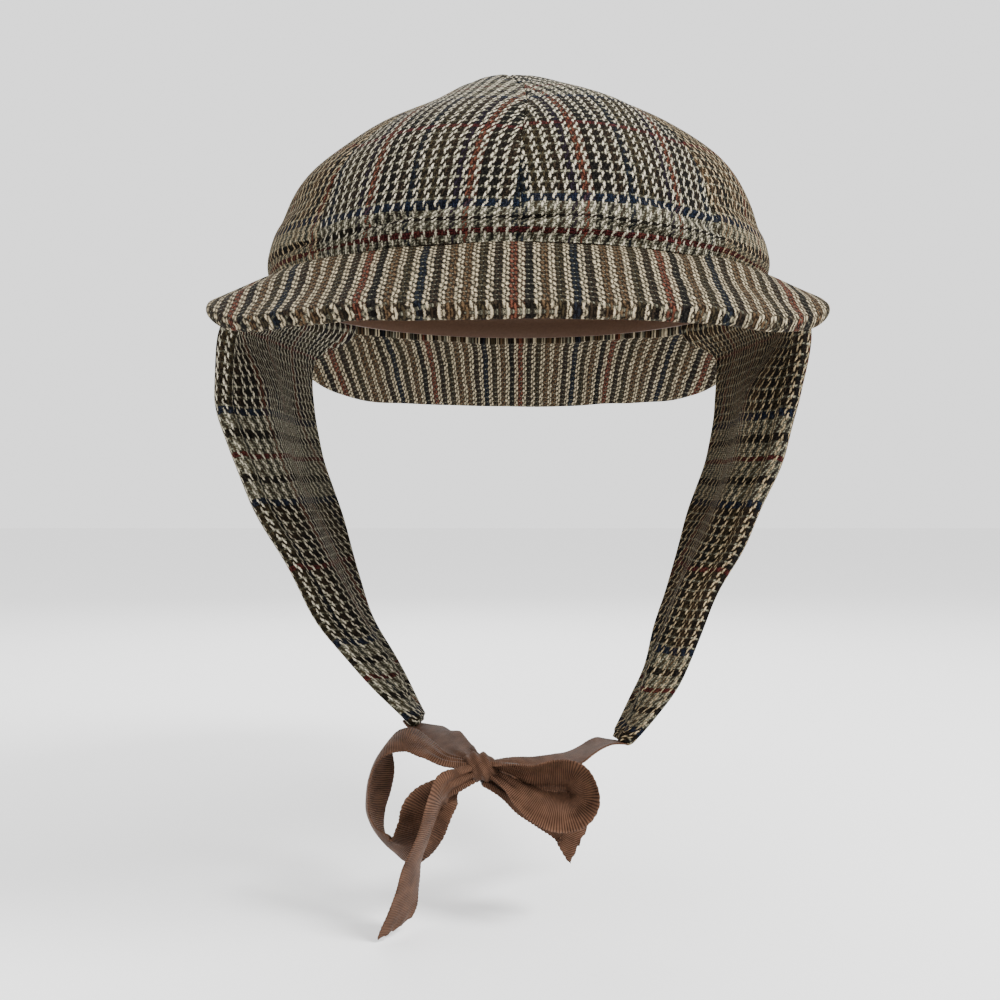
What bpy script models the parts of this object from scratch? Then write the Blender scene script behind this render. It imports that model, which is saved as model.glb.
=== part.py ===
# Deerstalker hat in its worn form: ear flaps down, tied below with a ribbon bow.
# Metres, +Z up. The origin is the centre of the head opening, -Y is the front,
# and left is the -X side, as seen from the front.

from collections import namedtuple
from math import cos, exp, pi, radians, sin, sqrt

import bmesh
import bpy
from mathutils import Matrix, Vector

# Head opening, inside the sweatband
HEAD_WIDTH = 0.169
HEAD_LENGTH = 0.201

# Walls and clearances
GAP = 0.0003
SEAM_ROOM = 0.0008
CLOTH_WALL = 0.0022
FLAP_WALL = 0.0035
BAND_WALL = 0.0010

# Crown
CROWN_HEIGHT = 0.0825
CROWN_PANELS = 8
PANEL_PUFF = 0.0014
CREASE_DEPTH = 0.0024

# Sweatband
BAND_HEIGHT = 0.028
BAND_BELOW_RIM = 0.003

# Peaks, front and back
PEAK_REACH = 0.055
PEAK_FALL = 0.026
PEAK_WALL = 0.005
PEAK_SPAN = radians(78)
PEAK_TUCK_START = radians(34)
PEAK_TUCK_END = radians(44)

# Ear flaps
FLAP_FLARE = 0.0205
FLAP_HANG = 0.1414
FLAP_EDGE_ROUND = 0.0012

# Ribbon, its knot and its bow
RIBBON_WIDTH = 0.016
RIBBON_WALL = 0.001
KNOT_WIDTH = 0.011
KNOT_DEPTH = 0.010
KNOT_HEIGHT = 0.0095
KNOT_ASIDE = 0.0126
KNOT_AHEAD = 0.060
KNOT_BELOW_FLAP = 0.007
BOW_REACH = 0.0295

# Rings round the opening, as distances out from it
FLAP_INSIDE = BAND_WALL + GAP
RIM_OUTSIDE = FLAP_INSIDE + FLAP_WALL
RIM_HALF_WIDTH = HEAD_WIDTH / 2 + RIM_OUTSIDE
RIM_HALF_LENGTH = HEAD_LENGTH / 2 + RIM_OUTSIDE

# Crown outline from the rim up: shares of the rim's half sizes and of the height. aside is how
# far the section sits to the right, as a share of the rim's half width.
CrownRow = namedtuple("CrownRow", "out high aside puff")
CROWN_OUTLINE = [
    CrownRow(1.000, 0.000, 0.000, 0.6),
    CrownRow(1.004, 0.020, 0.000, 0.7),
    CrownRow(1.020, 0.070, 0.004, 0.9),
    CrownRow(1.010, 0.140, 0.006, 0.9),
    CrownRow(0.985, 0.220, 0.006, 1.0),
    CrownRow(0.950, 0.320, 0.006, 1.0),
    CrownRow(0.897, 0.420, 0.010, 1.0),
    CrownRow(0.822, 0.510, 0.020, 1.0),
    CrownRow(0.722, 0.600, 0.028, 1.0),
    CrownRow(0.605, 0.685, 0.032, 1.0),
    CrownRow(0.480, 0.765, 0.022, 0.9),
    CrownRow(0.355, 0.840, 0.000, 0.8),
    CrownRow(0.235, 0.910, -0.020, 0.6),
    CrownRow(0.115, 0.965, -0.035, 0.3),
    CrownRow(0.015, 1.000, -0.040, 0.0),
]

# Creases in the crown: angle from the front in degrees, share of the rows, and depth as a share
Crease = namedtuple("Crease", "angle row wide tall depth")
CREASES = [
    Crease(-24, 0.30, 15, 0.045, 1.0),
    Crease(27, 0.28, 14, 0.045, 0.9),
    Crease(-62, 0.33, 12, 0.050, 0.6),
    Crease(64, 0.31, 13, 0.050, 0.5),
    Crease(158, 0.30, 15, 0.045, 0.6),
    Crease(-155, 0.31, 14, 0.045, 0.6),
    Crease(-95, 0.73, 16, 0.040, 0.6),
    Crease(78, 0.89, 20, 0.040, 0.5),
    Crease(100, 0.68, 16, 0.045, 0.5),
]

# Half of a peak, from the middle to its end: shares of the span, the reach and the fall
PeakRow = namedtuple("PeakRow", "along reach fall")
PEAK_OUTLINE = [
    PeakRow(0.000, 1.000, 1.00),
    PeakRow(0.125, 0.990, 1.00),
    PeakRow(0.250, 0.965, 0.98),
    PeakRow(0.375, 0.910, 1.00),
    PeakRow(0.500, 0.800, 0.92),
    PeakRow(0.625, 0.685, 0.69),
    PeakRow(0.750, 0.510, 0.46),
    PeakRow(0.875, 0.310, 0.26),
    PeakRow(1.000, 0.080, 0.06),
]

# Across a peak, from the seam to its edge: shares of the reach and of the fall
PeakStep = namedtuple("PeakStep", "out down")
PEAK_ACROSS = [
    PeakStep(0.00, 0.000),
    PeakStep(0.10, 0.012),
    PeakStep(0.30, 0.200),
    PeakStep(0.62, 0.580),
    PeakStep(1.00, 1.000),
]

# Ear flap sections from the rim down. tuck, flare and hang are shares of the way past the peak's
# wall, of the drop below its slope and of the free hang. free is 0 on the rim and 1 where the
# edges are the ones given: front and back, as shares of the rim's half sizes. bow is the share
# by which the middle stands out beyond the line between the edges.
FlapRow = namedtuple("FlapRow", "tuck flare hang free front_out front_y back_out back_y bow")
LEFT_FLAP = [
    FlapRow(0.0, 0.0, 0.000, 0.0, 0.830, -0.590, 0.830, 0.590, 0.00),
    FlapRow(1.0, 0.0, 0.000, 0.0, 0.830, -0.590, 0.830, 0.590, 0.00),
    FlapRow(1.0, 1.0, 0.000, 1.0, 1.085, -0.570, 0.985, 0.555, 0.05),
    FlapRow(1.0, 1.0, 0.157, 1.0, 1.150, -0.475, 0.985, 0.520, 0.03),
    FlapRow(1.0, 1.0, 0.283, 1.0, 1.120, -0.427, 0.945, 0.470, 0.03),
    FlapRow(1.0, 1.0, 0.394, 1.0, 1.060, -0.385, 0.880, 0.400, 0.04),
    FlapRow(1.0, 1.0, 0.506, 1.0, 0.985, -0.355, 0.805, 0.330, 0.04),
    FlapRow(1.0, 1.0, 0.637, 1.0, 0.872, -0.325, 0.725, 0.235, 0.04),
    FlapRow(1.0, 1.0, 0.748, 1.0, 0.773, -0.310, 0.650, 0.135, 0.03),
    FlapRow(1.0, 1.0, 0.850, 1.0, 0.640, -0.300, 0.555, 0.035, 0.02),
    FlapRow(1.0, 1.0, 0.927, 1.0, 0.535, -0.295, 0.475, -0.045, 0.01),
    FlapRow(1.0, 1.0, 0.985, 1.0, 0.445, -0.285, 0.420, -0.100, 0.00),
    FlapRow(1.0, 1.0, 1.000, 1.0, 0.415, -0.265, 0.400, -0.130, 0.00),
]
RIGHT_FLAP = [
    FlapRow(0.0, 0.0, 0.000, 0.0, 0.830, -0.590, 0.830, 0.590, 0.00),
    FlapRow(1.0, 0.0, 0.000, 0.0, 0.830, -0.590, 0.830, 0.590, 0.00),
    FlapRow(1.0, 1.0, 0.000, 1.0, 1.060, -0.570, 0.965, 0.555, 0.05),
    FlapRow(1.0, 1.0, 0.157, 1.0, 1.075, -0.475, 0.955, 0.520, 0.03),
    FlapRow(1.0, 1.0, 0.283, 1.0, 1.040, -0.427, 0.915, 0.470, 0.03),
    FlapRow(1.0, 1.0, 0.394, 1.0, 0.985, -0.385, 0.850, 0.400, 0.04),
    FlapRow(1.0, 1.0, 0.506, 1.0, 0.910, -0.355, 0.775, 0.330, 0.04),
    FlapRow(1.0, 1.0, 0.645, 1.0, 0.810, -0.325, 0.695, 0.235, 0.03),
    FlapRow(1.0, 1.0, 0.768, 1.0, 0.725, -0.310, 0.625, 0.135, 0.03),
    FlapRow(1.0, 1.0, 0.880, 1.0, 0.650, -0.300, 0.555, 0.035, 0.02),
    FlapRow(1.0, 1.0, 0.963, 1.0, 0.565, -0.295, 0.490, -0.045, 0.01),
    FlapRow(1.0, 1.0, 1.027, 1.0, 0.480, -0.285, 0.430, -0.100, 0.00),
    FlapRow(1.0, 1.0, 1.043, 1.0, 0.420, -0.265, 0.400, -0.130, 0.00),
]

# Ribbon routes. across and up are shares of the bow's reach, ahead is a share of the ribbon's
# width, lean turns the width about the route in degrees, and wide is the gathered width.
RibbonRow = namedtuple("RibbonRow", "across ahead up lean wide")
LEFT_LOOP = [
    RibbonRow(0.00, 0.10, -0.12, 10, 0.36),
    RibbonRow(-0.10, 0.22, -0.16, 45, 0.50),
    RibbonRow(-0.25, 0.36, -0.26, 78, 0.78),
    RibbonRow(-0.39, 0.44, -0.42, 84, 1.00),
    RibbonRow(-0.48, 0.44, -0.64, 74, 1.00),
    RibbonRow(-0.62, 0.34, -0.84, 56, 1.00),
    RibbonRow(-0.79, 0.16, -0.84, 42, 1.00),
    RibbonRow(-0.92, 0.03, -0.70, 31, 1.00),
    RibbonRow(-0.96, -0.03, -0.50, 29, 1.00),
    RibbonRow(-0.92, -0.05, -0.29, 33, 1.00),
    RibbonRow(-0.86, -0.05, -0.08, 35, 1.00),
    RibbonRow(-0.82, -0.05, 0.13, 33, 1.00),
    RibbonRow(-0.76, -0.05, 0.29, 24, 1.00),
    RibbonRow(-0.61, -0.05, 0.32, 16, 1.00),
    RibbonRow(-0.41, 0.00, 0.22, 12, 0.90),
    RibbonRow(-0.20, 0.08, 0.10, 8, 0.62),
    RibbonRow(0.00, 0.08, 0.06, 6, 0.36),
]
RIGHT_LOOP = [
    RibbonRow(0.00, 0.05, 0.08, -10, 0.36),
    RibbonRow(0.18, 0.12, 0.03, -28, 0.65),
    RibbonRow(0.40, 0.20, -0.06, -38, 0.95),
    RibbonRow(0.66, 0.27, -0.02, -40, 1.00),
    RibbonRow(0.87, 0.32, -0.06, -40, 1.00),
    RibbonRow(0.97, 0.35, -0.22, -40, 1.00),
    RibbonRow(0.95, 0.36, -0.40, -40, 1.00),
    RibbonRow(0.82, 0.36, -0.52, -40, 1.00),
    RibbonRow(0.63, 0.34, -0.53, -40, 1.00),
    RibbonRow(0.45, 0.28, -0.46, -38, 0.95),
    RibbonRow(0.28, 0.20, -0.34, -32, 0.80),
    RibbonRow(0.12, 0.12, -0.20, -20, 0.55),
    RibbonRow(0.00, 0.05, -0.10, -10, 0.36),
]
LEFT_TAIL = [
    RibbonRow(-0.08, 0.00, -0.04, 88, 0.36),
    RibbonRow(-0.24, 0.22, -0.09, 70, 0.50),
    RibbonRow(-0.35, 0.46, -0.14, 48, 0.75),
    RibbonRow(-0.42, 0.66, -0.26, 30, 1.00),
    RibbonRow(-0.49, 0.72, -0.47, 24, 1.00),
    RibbonRow(-0.58, 0.72, -0.72, 20, 1.00),
    RibbonRow(-0.68, 0.62, -0.98, 22, 1.00),
    RibbonRow(-0.74, 0.54, -1.23, 28, 1.00),
    RibbonRow(-0.82, 0.48, -1.49, 32, 1.00),
    RibbonRow(-0.93, 0.42, -1.71, 34, 0.70),
]
RIGHT_TAIL = [
    RibbonRow(0.02, 0.00, 0.00, 0, 0.36),
    RibbonRow(0.24, -0.10, -0.08, 30, 0.50),
    RibbonRow(0.50, -0.20, -0.18, 62, 0.80),
    RibbonRow(0.78, -0.22, -0.30, 78, 1.00),
    RibbonRow(1.02, -0.20, -0.48, 80, 1.00),
    RibbonRow(1.13, -0.16, -0.78, 78, 0.55),
]

# The ribbon from each flap to the knot: shares of the way there, sag as a share of the ribbon's
# width, lean in degrees and gathered width
StrapRow = namedtuple("StrapRow", "along sag lean wide")
LEFT_STRAP = [
    StrapRow(0.00, 0.00, 0, 1.00),
    StrapRow(0.15, 0.00, 0, 1.00),
    StrapRow(0.35, 0.00, 18, 1.00),
    StrapRow(0.65, -0.06, 28, 0.80),
    StrapRow(0.85, -0.06, 10, 0.50),
    StrapRow(1.00, 0.00, 0, 0.36),
]
RIGHT_STRAP = [
    StrapRow(0.00, 0.00, 0, 1.00),
    StrapRow(0.12, 0.02, 0, 1.00),
    StrapRow(0.35, 0.20, -8, 1.00),
    StrapRow(0.60, 0.30, -25, 0.90),
    StrapRow(0.85, 0.14, -25, 0.60),
    StrapRow(1.00, 0.00, -20, 0.36),
]

# Cells of the grids, across and along
PANEL_CELLS = (8, 14)
PEAK_CELLS = (16, 4)
FLAP_CELLS_ACROSS = 10
BAND_CELLS = (64, 2)
STRAP_CELLS = (2, 12)
LOOP_CELLS = (2, 34)
TAIL_CELLS = (2, 16)
KNOT_CELLS = (14, 9)
KNOT_SQUARENESS = 0.85

TWEED = (0.21, 0.17, 0.12)
PEAK_TWEED = (0.24, 0.18, 0.12)
LEATHER = (0.20, 0.11, 0.06)
RIBBON = (0.25, 0.16, 0.12)


def clear_scene():
    for old in list(bpy.data.objects):
        bpy.data.objects.remove(old)


def make_collection(name):
    collection = bpy.data.collections.new(name)
    bpy.context.scene.collection.children.link(collection)
    return collection


def make_material(name, colour, roughness):
    material = bpy.data.materials.new(name)
    material.use_nodes = True
    shader = material.node_tree.nodes["Principled BSDF"]
    shader.inputs["Base Color"].default_value = (*colour, 1.0)
    shader.inputs["Roughness"].default_value = roughness
    shader.inputs["Metallic"].default_value = 0.0
    return material


def between(rows, column, share):
    """A table column at a share of the way from its first row to its last, smoothly."""
    values = [getattr(row, column) for row in rows]
    place = min(max(share, 0.0), 1.0) * (len(values) - 1)
    index = min(int(place), len(values) - 2)
    t = place - index
    a, b = values[index], values[index + 1]
    before = values[max(index - 1, 0)]
    after = values[min(index + 2, len(values) - 1)]
    slope_a, slope_b = (b - before) / 2, (after - a) / 2
    return (
        a * (2 * t**3 - 3 * t**2 + 1)
        + slope_a * (t**3 - 2 * t**2 + t)
        + b * (3 * t**2 - 2 * t**3)
        + slope_b * (t**3 - t**2)
    )


def mix(a, b, share):
    return a + (b - a) * share


def smooth_step(low, high, value):
    t = min(max((value - low) / (high - low), 0.0), 1.0)
    return t * t * (3 - 2 * t)


def rim_point(angle, outside):
    """A point round the opening, angle from the front and that far out from the opening."""
    across = (HEAD_WIDTH / 2 + outside) * sin(angle)
    ahead = -(HEAD_LENGTH / 2 + outside) * cos(angle)
    return Vector((across, ahead, 0.0))


def sheet_object(name, cells, surface, material, collection):
    """An object whose grid is laid on surface(across, along), both running from 0 to 1."""
    mesh = bpy.data.meshes.new(name)
    grid = bmesh.new()
    bmesh.ops.create_grid(grid, x_segments=cells[0], y_segments=cells[1], size=0.5)
    for vert in grid.verts:
        vert.co = surface(vert.co.x + 0.5, vert.co.y + 0.5)
    grid.to_mesh(mesh)
    grid.free()
    sheet = bpy.data.objects.new(name, mesh)
    mesh.materials.append(material)
    collection.objects.link(sheet)
    return sheet


def add_wall(sheet, thickness, offset=-1.0):
    wall = sheet.modifiers.new("Wall", "SOLIDIFY")
    wall.thickness = thickness
    wall.offset = offset
    wall.use_even_offset = False


def add_rounding(sheet, width):
    rounding = sheet.modifiers.new("Rounding", "BEVEL")
    rounding.width = width
    rounding.segments = 1
    rounding.limit_method = "ANGLE"
    rounding.angle_limit = radians(60)


def add_softness(sheet):
    softness = sheet.modifiers.new("Softness", "SUBSURF")
    softness.levels = 1
    softness.render_levels = 1


def shade_smooth(sheet, sharp_degrees=50):
    sheet.data.shade_smooth()
    sheet.data.set_sharp_from_angle(angle=radians(sharp_degrees))


def bare_crown(angle, row):
    """The crown's outer face without puff or creases."""
    out = between(CROWN_OUTLINE, "out", row)
    high = between(CROWN_OUTLINE, "high", row)
    across = RIM_HALF_WIDTH * (out * sin(angle) + between(CROWN_OUTLINE, "aside", row))
    ahead = -RIM_HALF_LENGTH * out * cos(angle)
    return Vector((across, ahead, CROWN_HEIGHT * high))


def crown_normal(angle, row):
    step = 0.01
    low, high = max(row - step, 0.0), min(row + step, 1.0)
    round_way = bare_crown(angle + step, row) - bare_crown(angle - step, row)
    up_way = bare_crown(angle, high) - bare_crown(angle, low)
    return round_way.cross(up_way).normalized()


def crease_depth(angle, row):
    """How far the creases press the crown in at a place."""
    depth = 0.0
    for crease in CREASES:
        turn = (angle - radians(crease.angle) + pi) % (2 * pi) - pi
        away = (turn / radians(crease.wide)) ** 2 + ((row - crease.row) / crease.tall) ** 2
        depth += CREASE_DEPTH * crease.depth * exp(-away)
    return depth


def crown_panel(number, material, collection):
    """One gore of the crown, from the rim to the top."""
    sweep = 2 * pi / CROWN_PANELS

    def surface(across, row):
        angle = sweep * (number + across)
        puff = PANEL_PUFF * between(CROWN_OUTLINE, "puff", row) * (1 - (2 * across - 1) ** 2)
        rise = puff - crease_depth(angle, row)
        sideways = Vector((RIM_HALF_LENGTH * cos(angle), RIM_HALF_WIDTH * sin(angle), 0.0))
        seam_shift = sideways.normalized() * GAP * (0.5 - across)
        return bare_crown(angle, row) + crown_normal(angle, row) * rise + seam_shift

    panel = sheet_object(f"crown_panel_{number + 1}", PANEL_CELLS, surface, material, collection)
    add_wall(panel, CLOTH_WALL)
    shade_smooth(panel)


def crown_inside(height):
    """How far out from the opening the crown's inner face is at a height, where it is nearest."""
    steps = 60
    rows = [step / steps for step in range(1, steps + 1)]
    row = next(row for row in rows if CROWN_HEIGHT * between(CROWN_OUTLINE, "high", row) >= height)
    out = between(CROWN_OUTLINE, "out", row)
    aside = RIM_HALF_WIDTH * abs(between(CROWN_OUTLINE, "aside", row))
    at_side = RIM_HALF_WIDTH * out - aside - HEAD_WIDTH / 2
    at_front = RIM_HALF_LENGTH * out - HEAD_LENGTH / 2
    return min(at_side, at_front) - CLOTH_WALL - CREASE_DEPTH


def sweatband(material, collection):
    """A band round the opening that leans inwards where the crown does."""

    def surface(across, up):
        height = BAND_HEIGHT * up - BAND_BELOW_RIM
        outside = min(BAND_WALL, crown_inside(height) - GAP)
        point = rim_point(2 * pi * across, outside)
        return Vector((point.x, point.y, height))

    band = sheet_object("sweatband", BAND_CELLS, surface, material, collection)
    closed = bmesh.new()
    closed.from_mesh(band.data)
    bmesh.ops.remove_doubles(closed, verts=closed.verts, dist=GAP / 10)
    closed.to_mesh(band.data)
    closed.free()
    add_wall(band, BAND_WALL)
    shade_smooth(band)


def peak(name, facing, material, collection):
    """A peak, facing -1 at the front and 1 at the back, which is the front one turned round."""

    def surface(across, inward):
        share = 2 * across - 1
        angle = PEAK_SPAN * share
        reach = PEAK_REACH * between(PEAK_OUTLINE, "reach", abs(share))
        fall = PEAK_FALL * between(PEAK_OUTLINE, "fall", abs(share))
        tucked = smooth_step(PEAK_TUCK_START, PEAK_TUCK_END, abs(angle))
        inner = mix(FLAP_INSIDE, RIM_OUTSIDE + SEAM_ROOM, tucked)
        start = rim_point(angle, inner)
        outward = (rim_point(angle, 1.0) - rim_point(angle, 0.0)).normalized()
        edge = (RIM_OUTSIDE - inner + reach) * between(PEAK_ACROSS, "out", 1 - inward)
        down = fall * between(PEAK_ACROSS, "down", 1 - inward)
        place = start + outward * edge
        return Vector((place.x, place.y, -GAP - down))

    shape = sheet_object(name, PEAK_CELLS, surface, material, collection)
    if facing > 0:
        shape.data.transform(Matrix.Rotation(pi, 4, "Z"))
    add_wall(shape, PEAK_WALL)
    add_softness(shape)
    shade_smooth(shape)


def peak_slope():
    """The steepest slope of a peak where an ear flap hangs under it."""
    covered = [row for row in PEAK_OUTLINE if row.along * PEAK_SPAN > PEAK_TUCK_END]
    return max(PEAK_FALL * row.fall / (PEAK_REACH * row.reach) for row in covered)


def flap_height(row):
    """The height of a flap's section."""
    past_peak = (PEAK_WALL + 2 * GAP) * row.tuck
    below_slope = (FLAP_FLARE * peak_slope() + SEAM_ROOM) * row.flare
    return -(GAP + past_peak + below_slope + FLAP_HANG * row.hang)


def flap_point(row, side, behind):
    """A point of a flap's outer face: behind runs from its front edge to its back edge."""
    ahead = RIM_HALF_LENGTH * mix(row.front_y, row.back_y, behind)
    on_rim = RIM_HALF_WIDTH * sqrt(1 - (ahead / RIM_HALF_LENGTH) ** 2)
    bow = 4 * behind * (1 - behind) * row.bow
    hanging = RIM_HALF_WIDTH * (mix(row.front_out, row.back_out, behind) + bow)
    return Vector((side * mix(on_rim, hanging, row.free), ahead, flap_height(row)))


def ear_flap(name, side, rows, material, collection):
    """An ear flap, side -1 at the left and 1 at the right, with one line of cells per section."""
    sections = len(rows) - 1

    def surface(across, along):
        behind = across if side < 0 else 1 - across
        return flap_point(rows[round(along * sections)], side, behind)

    flap = sheet_object(name, (FLAP_CELLS_ACROSS, sections), surface, material, collection)
    add_wall(flap, FLAP_WALL)
    add_rounding(flap, FLAP_EDGE_ROUND)
    shade_smooth(flap)


def flap_end(rows, side):
    """The middle of a flap's lower end, in the middle of its wall."""
    end = flap_point(rows[-1], side, 0.5)
    return end + Vector((-side * FLAP_WALL / 2, 0.0, -GAP - RIBBON_WALL / 2))


def knot_centre():
    down = flap_height(LEFT_FLAP[-1]) - KNOT_BELOW_FLAP
    return Vector((-KNOT_ASIDE, -KNOT_AHEAD, down))


def bow_knot(material, collection):
    mesh = bpy.data.meshes.new("bow_knot")
    ball = bmesh.new()
    bmesh.ops.create_uvsphere(
        ball, u_segments=KNOT_CELLS[0], v_segments=KNOT_CELLS[1], radius=1.0
    )
    size = (KNOT_WIDTH / 2, KNOT_DEPTH / 2, KNOT_HEIGHT / 2)
    for vert in ball.verts:
        squared = [abs(value) ** KNOT_SQUARENESS * (1 if value > 0 else -1) for value in vert.co]
        vert.co = [length * value for length, value in zip(size, squared)]
    ball.to_mesh(mesh)
    ball.free()
    mesh.materials.append(material)
    knot = bpy.data.objects.new("bow_knot", mesh)
    knot.location = knot_centre()
    collection.objects.link(knot)
    shade_smooth(knot)


def route_point(points, share):
    """A point on the smooth curve through the points of a route."""
    place = min(max(share, 0.0), 1.0) * (len(points) - 1)
    index = min(int(place), len(points) - 2)
    t = place - index
    a, b = points[index], points[index + 1]
    before = points[max(index - 1, 0)]
    after = points[min(index + 2, len(points) - 1)]
    return (
        a * (2 * t**3 - 3 * t**2 + 1)
        + (b - before) / 2 * (t**3 - 2 * t**2 + t)
        + b * (3 * t**2 - 2 * t**3)
        + (after - a) / 2 * (t**3 - t**2)
    )


def ribbon(name, points, rows, cells, material, collection):
    """A flat ribbon along the points, with the lean and width of the rows."""
    step = 0.5 / cells[1]

    def surface(across, along):
        centre = route_point(points, along)
        forward = (route_point(points, along + step) - route_point(points, along - step)).normalized()
        backward = Vector((0.0, 1.0, 0.0))
        flat = (backward - forward * backward.dot(forward)).normalized()
        lean = radians(between(rows, "lean", along))
        width_way = Matrix.Rotation(lean, 3, forward) @ flat
        width = RIBBON_WIDTH * between(rows, "wide", along)
        return centre + width_way * width * (across - 0.5)

    tape = sheet_object(name, cells, surface, material, collection)
    add_wall(tape, RIBBON_WALL, offset=0.0)
    shade_smooth(tape)


def bow_points(root, rows):
    """The points of a loop or a tail, from the place where it leaves the knot."""
    points = []
    for row in rows:
        offset = Vector((BOW_REACH * row.across, -RIBBON_WIDTH * row.ahead, BOW_REACH * row.up))
        points.append(root + offset)
    return points


def bow(material, collection):
    """The two loops and the two tails, each starting just clear of the knot."""
    knot = knot_centre()
    clear = GAP + RIBBON_WALL / 2
    left_side = knot - Vector((KNOT_WIDTH / 2 + GAP, 0.0, 0.0))
    right_side = knot + Vector((KNOT_WIDTH / 2 + GAP, 0.0, 0.0))
    front = knot - Vector((0.0, KNOT_DEPTH / 2 + clear, 0.0))
    under = knot - Vector((0.0, 0.0, KNOT_HEIGHT / 2 + clear))
    pieces = [
        ("bow_loop_left", left_side, LEFT_LOOP, LOOP_CELLS),
        ("bow_loop_right", right_side, RIGHT_LOOP, LOOP_CELLS),
        ("ribbon_tail_left", front, LEFT_TAIL, TAIL_CELLS),
        ("ribbon_tail_right", under, RIGHT_TAIL, TAIL_CELLS),
    ]
    for name, root, rows, cells in pieces:
        ribbon(name, bow_points(root, rows), rows, cells, material, collection)


def chin_ribbon(name, start, end, rows, material, collection):
    points = []
    for row in rows:
        sag = Vector((0.0, 0.0, RIBBON_WIDTH * row.sag))
        points.append(start.lerp(end, row.along) - sag)
    ribbon(name, points, rows, STRAP_CELLS, material, collection)


def chin_ribbons(material, collection):
    knot = knot_centre()
    clear = GAP + RIBBON_WALL / 2
    over_knot = knot + Vector((-KNOT_WIDTH / 4, KNOT_DEPTH / 4, KNOT_HEIGHT / 2 + clear))
    behind_knot = knot + Vector((KNOT_WIDTH / 4, KNOT_DEPTH / 2 + clear, 0.0))
    left_start, right_start = flap_end(LEFT_FLAP, -1), flap_end(RIGHT_FLAP, 1)
    chin_ribbon("chin_ribbon_left", left_start, over_knot, LEFT_STRAP, material, collection)
    chin_ribbon("chin_ribbon_right", right_start, behind_knot, RIGHT_STRAP, material, collection)


def build_hat():
    clear_scene()
    hat = make_collection("deerstalker_hat")
    crown_tweed = make_material("crown_tweed", TWEED, 0.95)
    peak_tweed = make_material("peak_tweed", PEAK_TWEED, 0.95)
    flap_tweed = make_material("flap_tweed", TWEED, 0.95)
    band_leather = make_material("band_leather", LEATHER, 0.55)
    grosgrain = make_material("grosgrain", RIBBON, 0.7)

    for number in range(CROWN_PANELS):
        crown_panel(number, crown_tweed, hat)
    peak("front_peak", -1, peak_tweed, hat)
    peak("back_peak", 1, peak_tweed, hat)
    ear_flap("ear_flap_left", -1, LEFT_FLAP, flap_tweed, hat)
    ear_flap("ear_flap_right", 1, RIGHT_FLAP, flap_tweed, hat)
    sweatband(band_leather, hat)
    chin_ribbons(grosgrain, hat)
    bow_knot(grosgrain, hat)
    bow(grosgrain, hat)


build_hat()
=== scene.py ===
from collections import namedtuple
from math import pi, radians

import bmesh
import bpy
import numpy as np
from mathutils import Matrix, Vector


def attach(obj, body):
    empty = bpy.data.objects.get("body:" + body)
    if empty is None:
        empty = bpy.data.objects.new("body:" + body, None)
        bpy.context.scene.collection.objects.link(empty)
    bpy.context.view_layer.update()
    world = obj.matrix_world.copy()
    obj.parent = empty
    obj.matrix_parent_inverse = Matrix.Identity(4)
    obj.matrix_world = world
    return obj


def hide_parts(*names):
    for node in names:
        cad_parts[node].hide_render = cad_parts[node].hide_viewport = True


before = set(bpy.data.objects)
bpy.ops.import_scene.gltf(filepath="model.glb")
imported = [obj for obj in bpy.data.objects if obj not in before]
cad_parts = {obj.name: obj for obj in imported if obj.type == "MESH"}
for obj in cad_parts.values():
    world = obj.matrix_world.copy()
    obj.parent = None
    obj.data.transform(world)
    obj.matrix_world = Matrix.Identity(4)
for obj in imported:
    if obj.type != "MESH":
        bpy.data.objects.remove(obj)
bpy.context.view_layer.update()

# %% [markdown]
# # A tweed deerstalker, built cell by cell
# A deerstalker is a cloth hat with one peak in front, a second one behind, and two ear flaps that
# can be tied under the chin. This one is shown as it is worn: a pointed crown of eight panels,
# both peaks, both flaps hanging down, and a ribbon tied in a bow below them.
# Everything is in metres. The origin is the centre of the head opening, -Y is the front and +Z
# is up.

# %% [markdown]
# ## Smooth tables
# Every piece of this hat is cloth, leather or ribbon, so each one is a thin curved sheet. It could
# be cut flat and draped by a cloth simulation, but a worn hat holds one known form, and a
# simulation would only come near it. So each sheet is worked out as a grid of points. A few rows
# of a table give its form, and `along_table` runs a smooth curve through them.

# %% Smooth tables
def column(rows, name):
    return np.array([getattr(row, name) for row in rows], float)


def along_table(values, share):
    """A smooth curve through a table's values, read at shares from 0 to 1."""
    values = np.asarray(values, float)
    place = np.clip(share, 0, 1) * (len(values) - 1)
    index = np.minimum(place.astype(int), len(values) - 2)
    t = (place - index).reshape(np.shape(index) + (1,) * (values.ndim - 1))
    a, b = values[index], values[index + 1]
    before = values[np.maximum(index - 1, 0)]
    after = values[np.minimum(index + 2, len(values) - 1)]
    return (
        a * (2 * t**3 - 3 * t**2 + 1)
        + (b - before) / 2 * (t**3 - 2 * t**2 + t)
        + b * (3 * t**2 - 2 * t**3)
        + (after - a) / 2 * (t**3 - t**2)
    )


def smooth_step(low, high, value):
    t = np.clip((value - low) / (high - low), 0, 1)
    return t * t * (3 - 2 * t)


def edge_shares(length, border, edge_cells, cells):
    """Shares from 0 to 1 whose lines are close together within a border of both ends."""
    turn = 1 - np.cos(np.linspace(0, pi / 2, edge_cells + 1))
    side = np.minimum(border / np.atleast_1d(length), 0.3)[:, None]
    middle = side + (1 - 2 * side) * np.linspace(0, 1, cells + 1)[1:-1]
    return np.concatenate([side * turn, middle, 1 - side * turn[::-1]], axis=1)


print("a curve through 0, 1 and 4, a quarter of the way:", along_table([0, 1, 4], np.array([0.25])))

# %% [markdown]
# ## Surfaces
# A sheet needs to know which way each of its points faces, how far the points are apart along
# the cloth, and how it thins out at an edge. Blender can tell the first from a finished mesh, but
# here the points are still moved afterwards, so it is all worked out on the grid itself.

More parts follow.
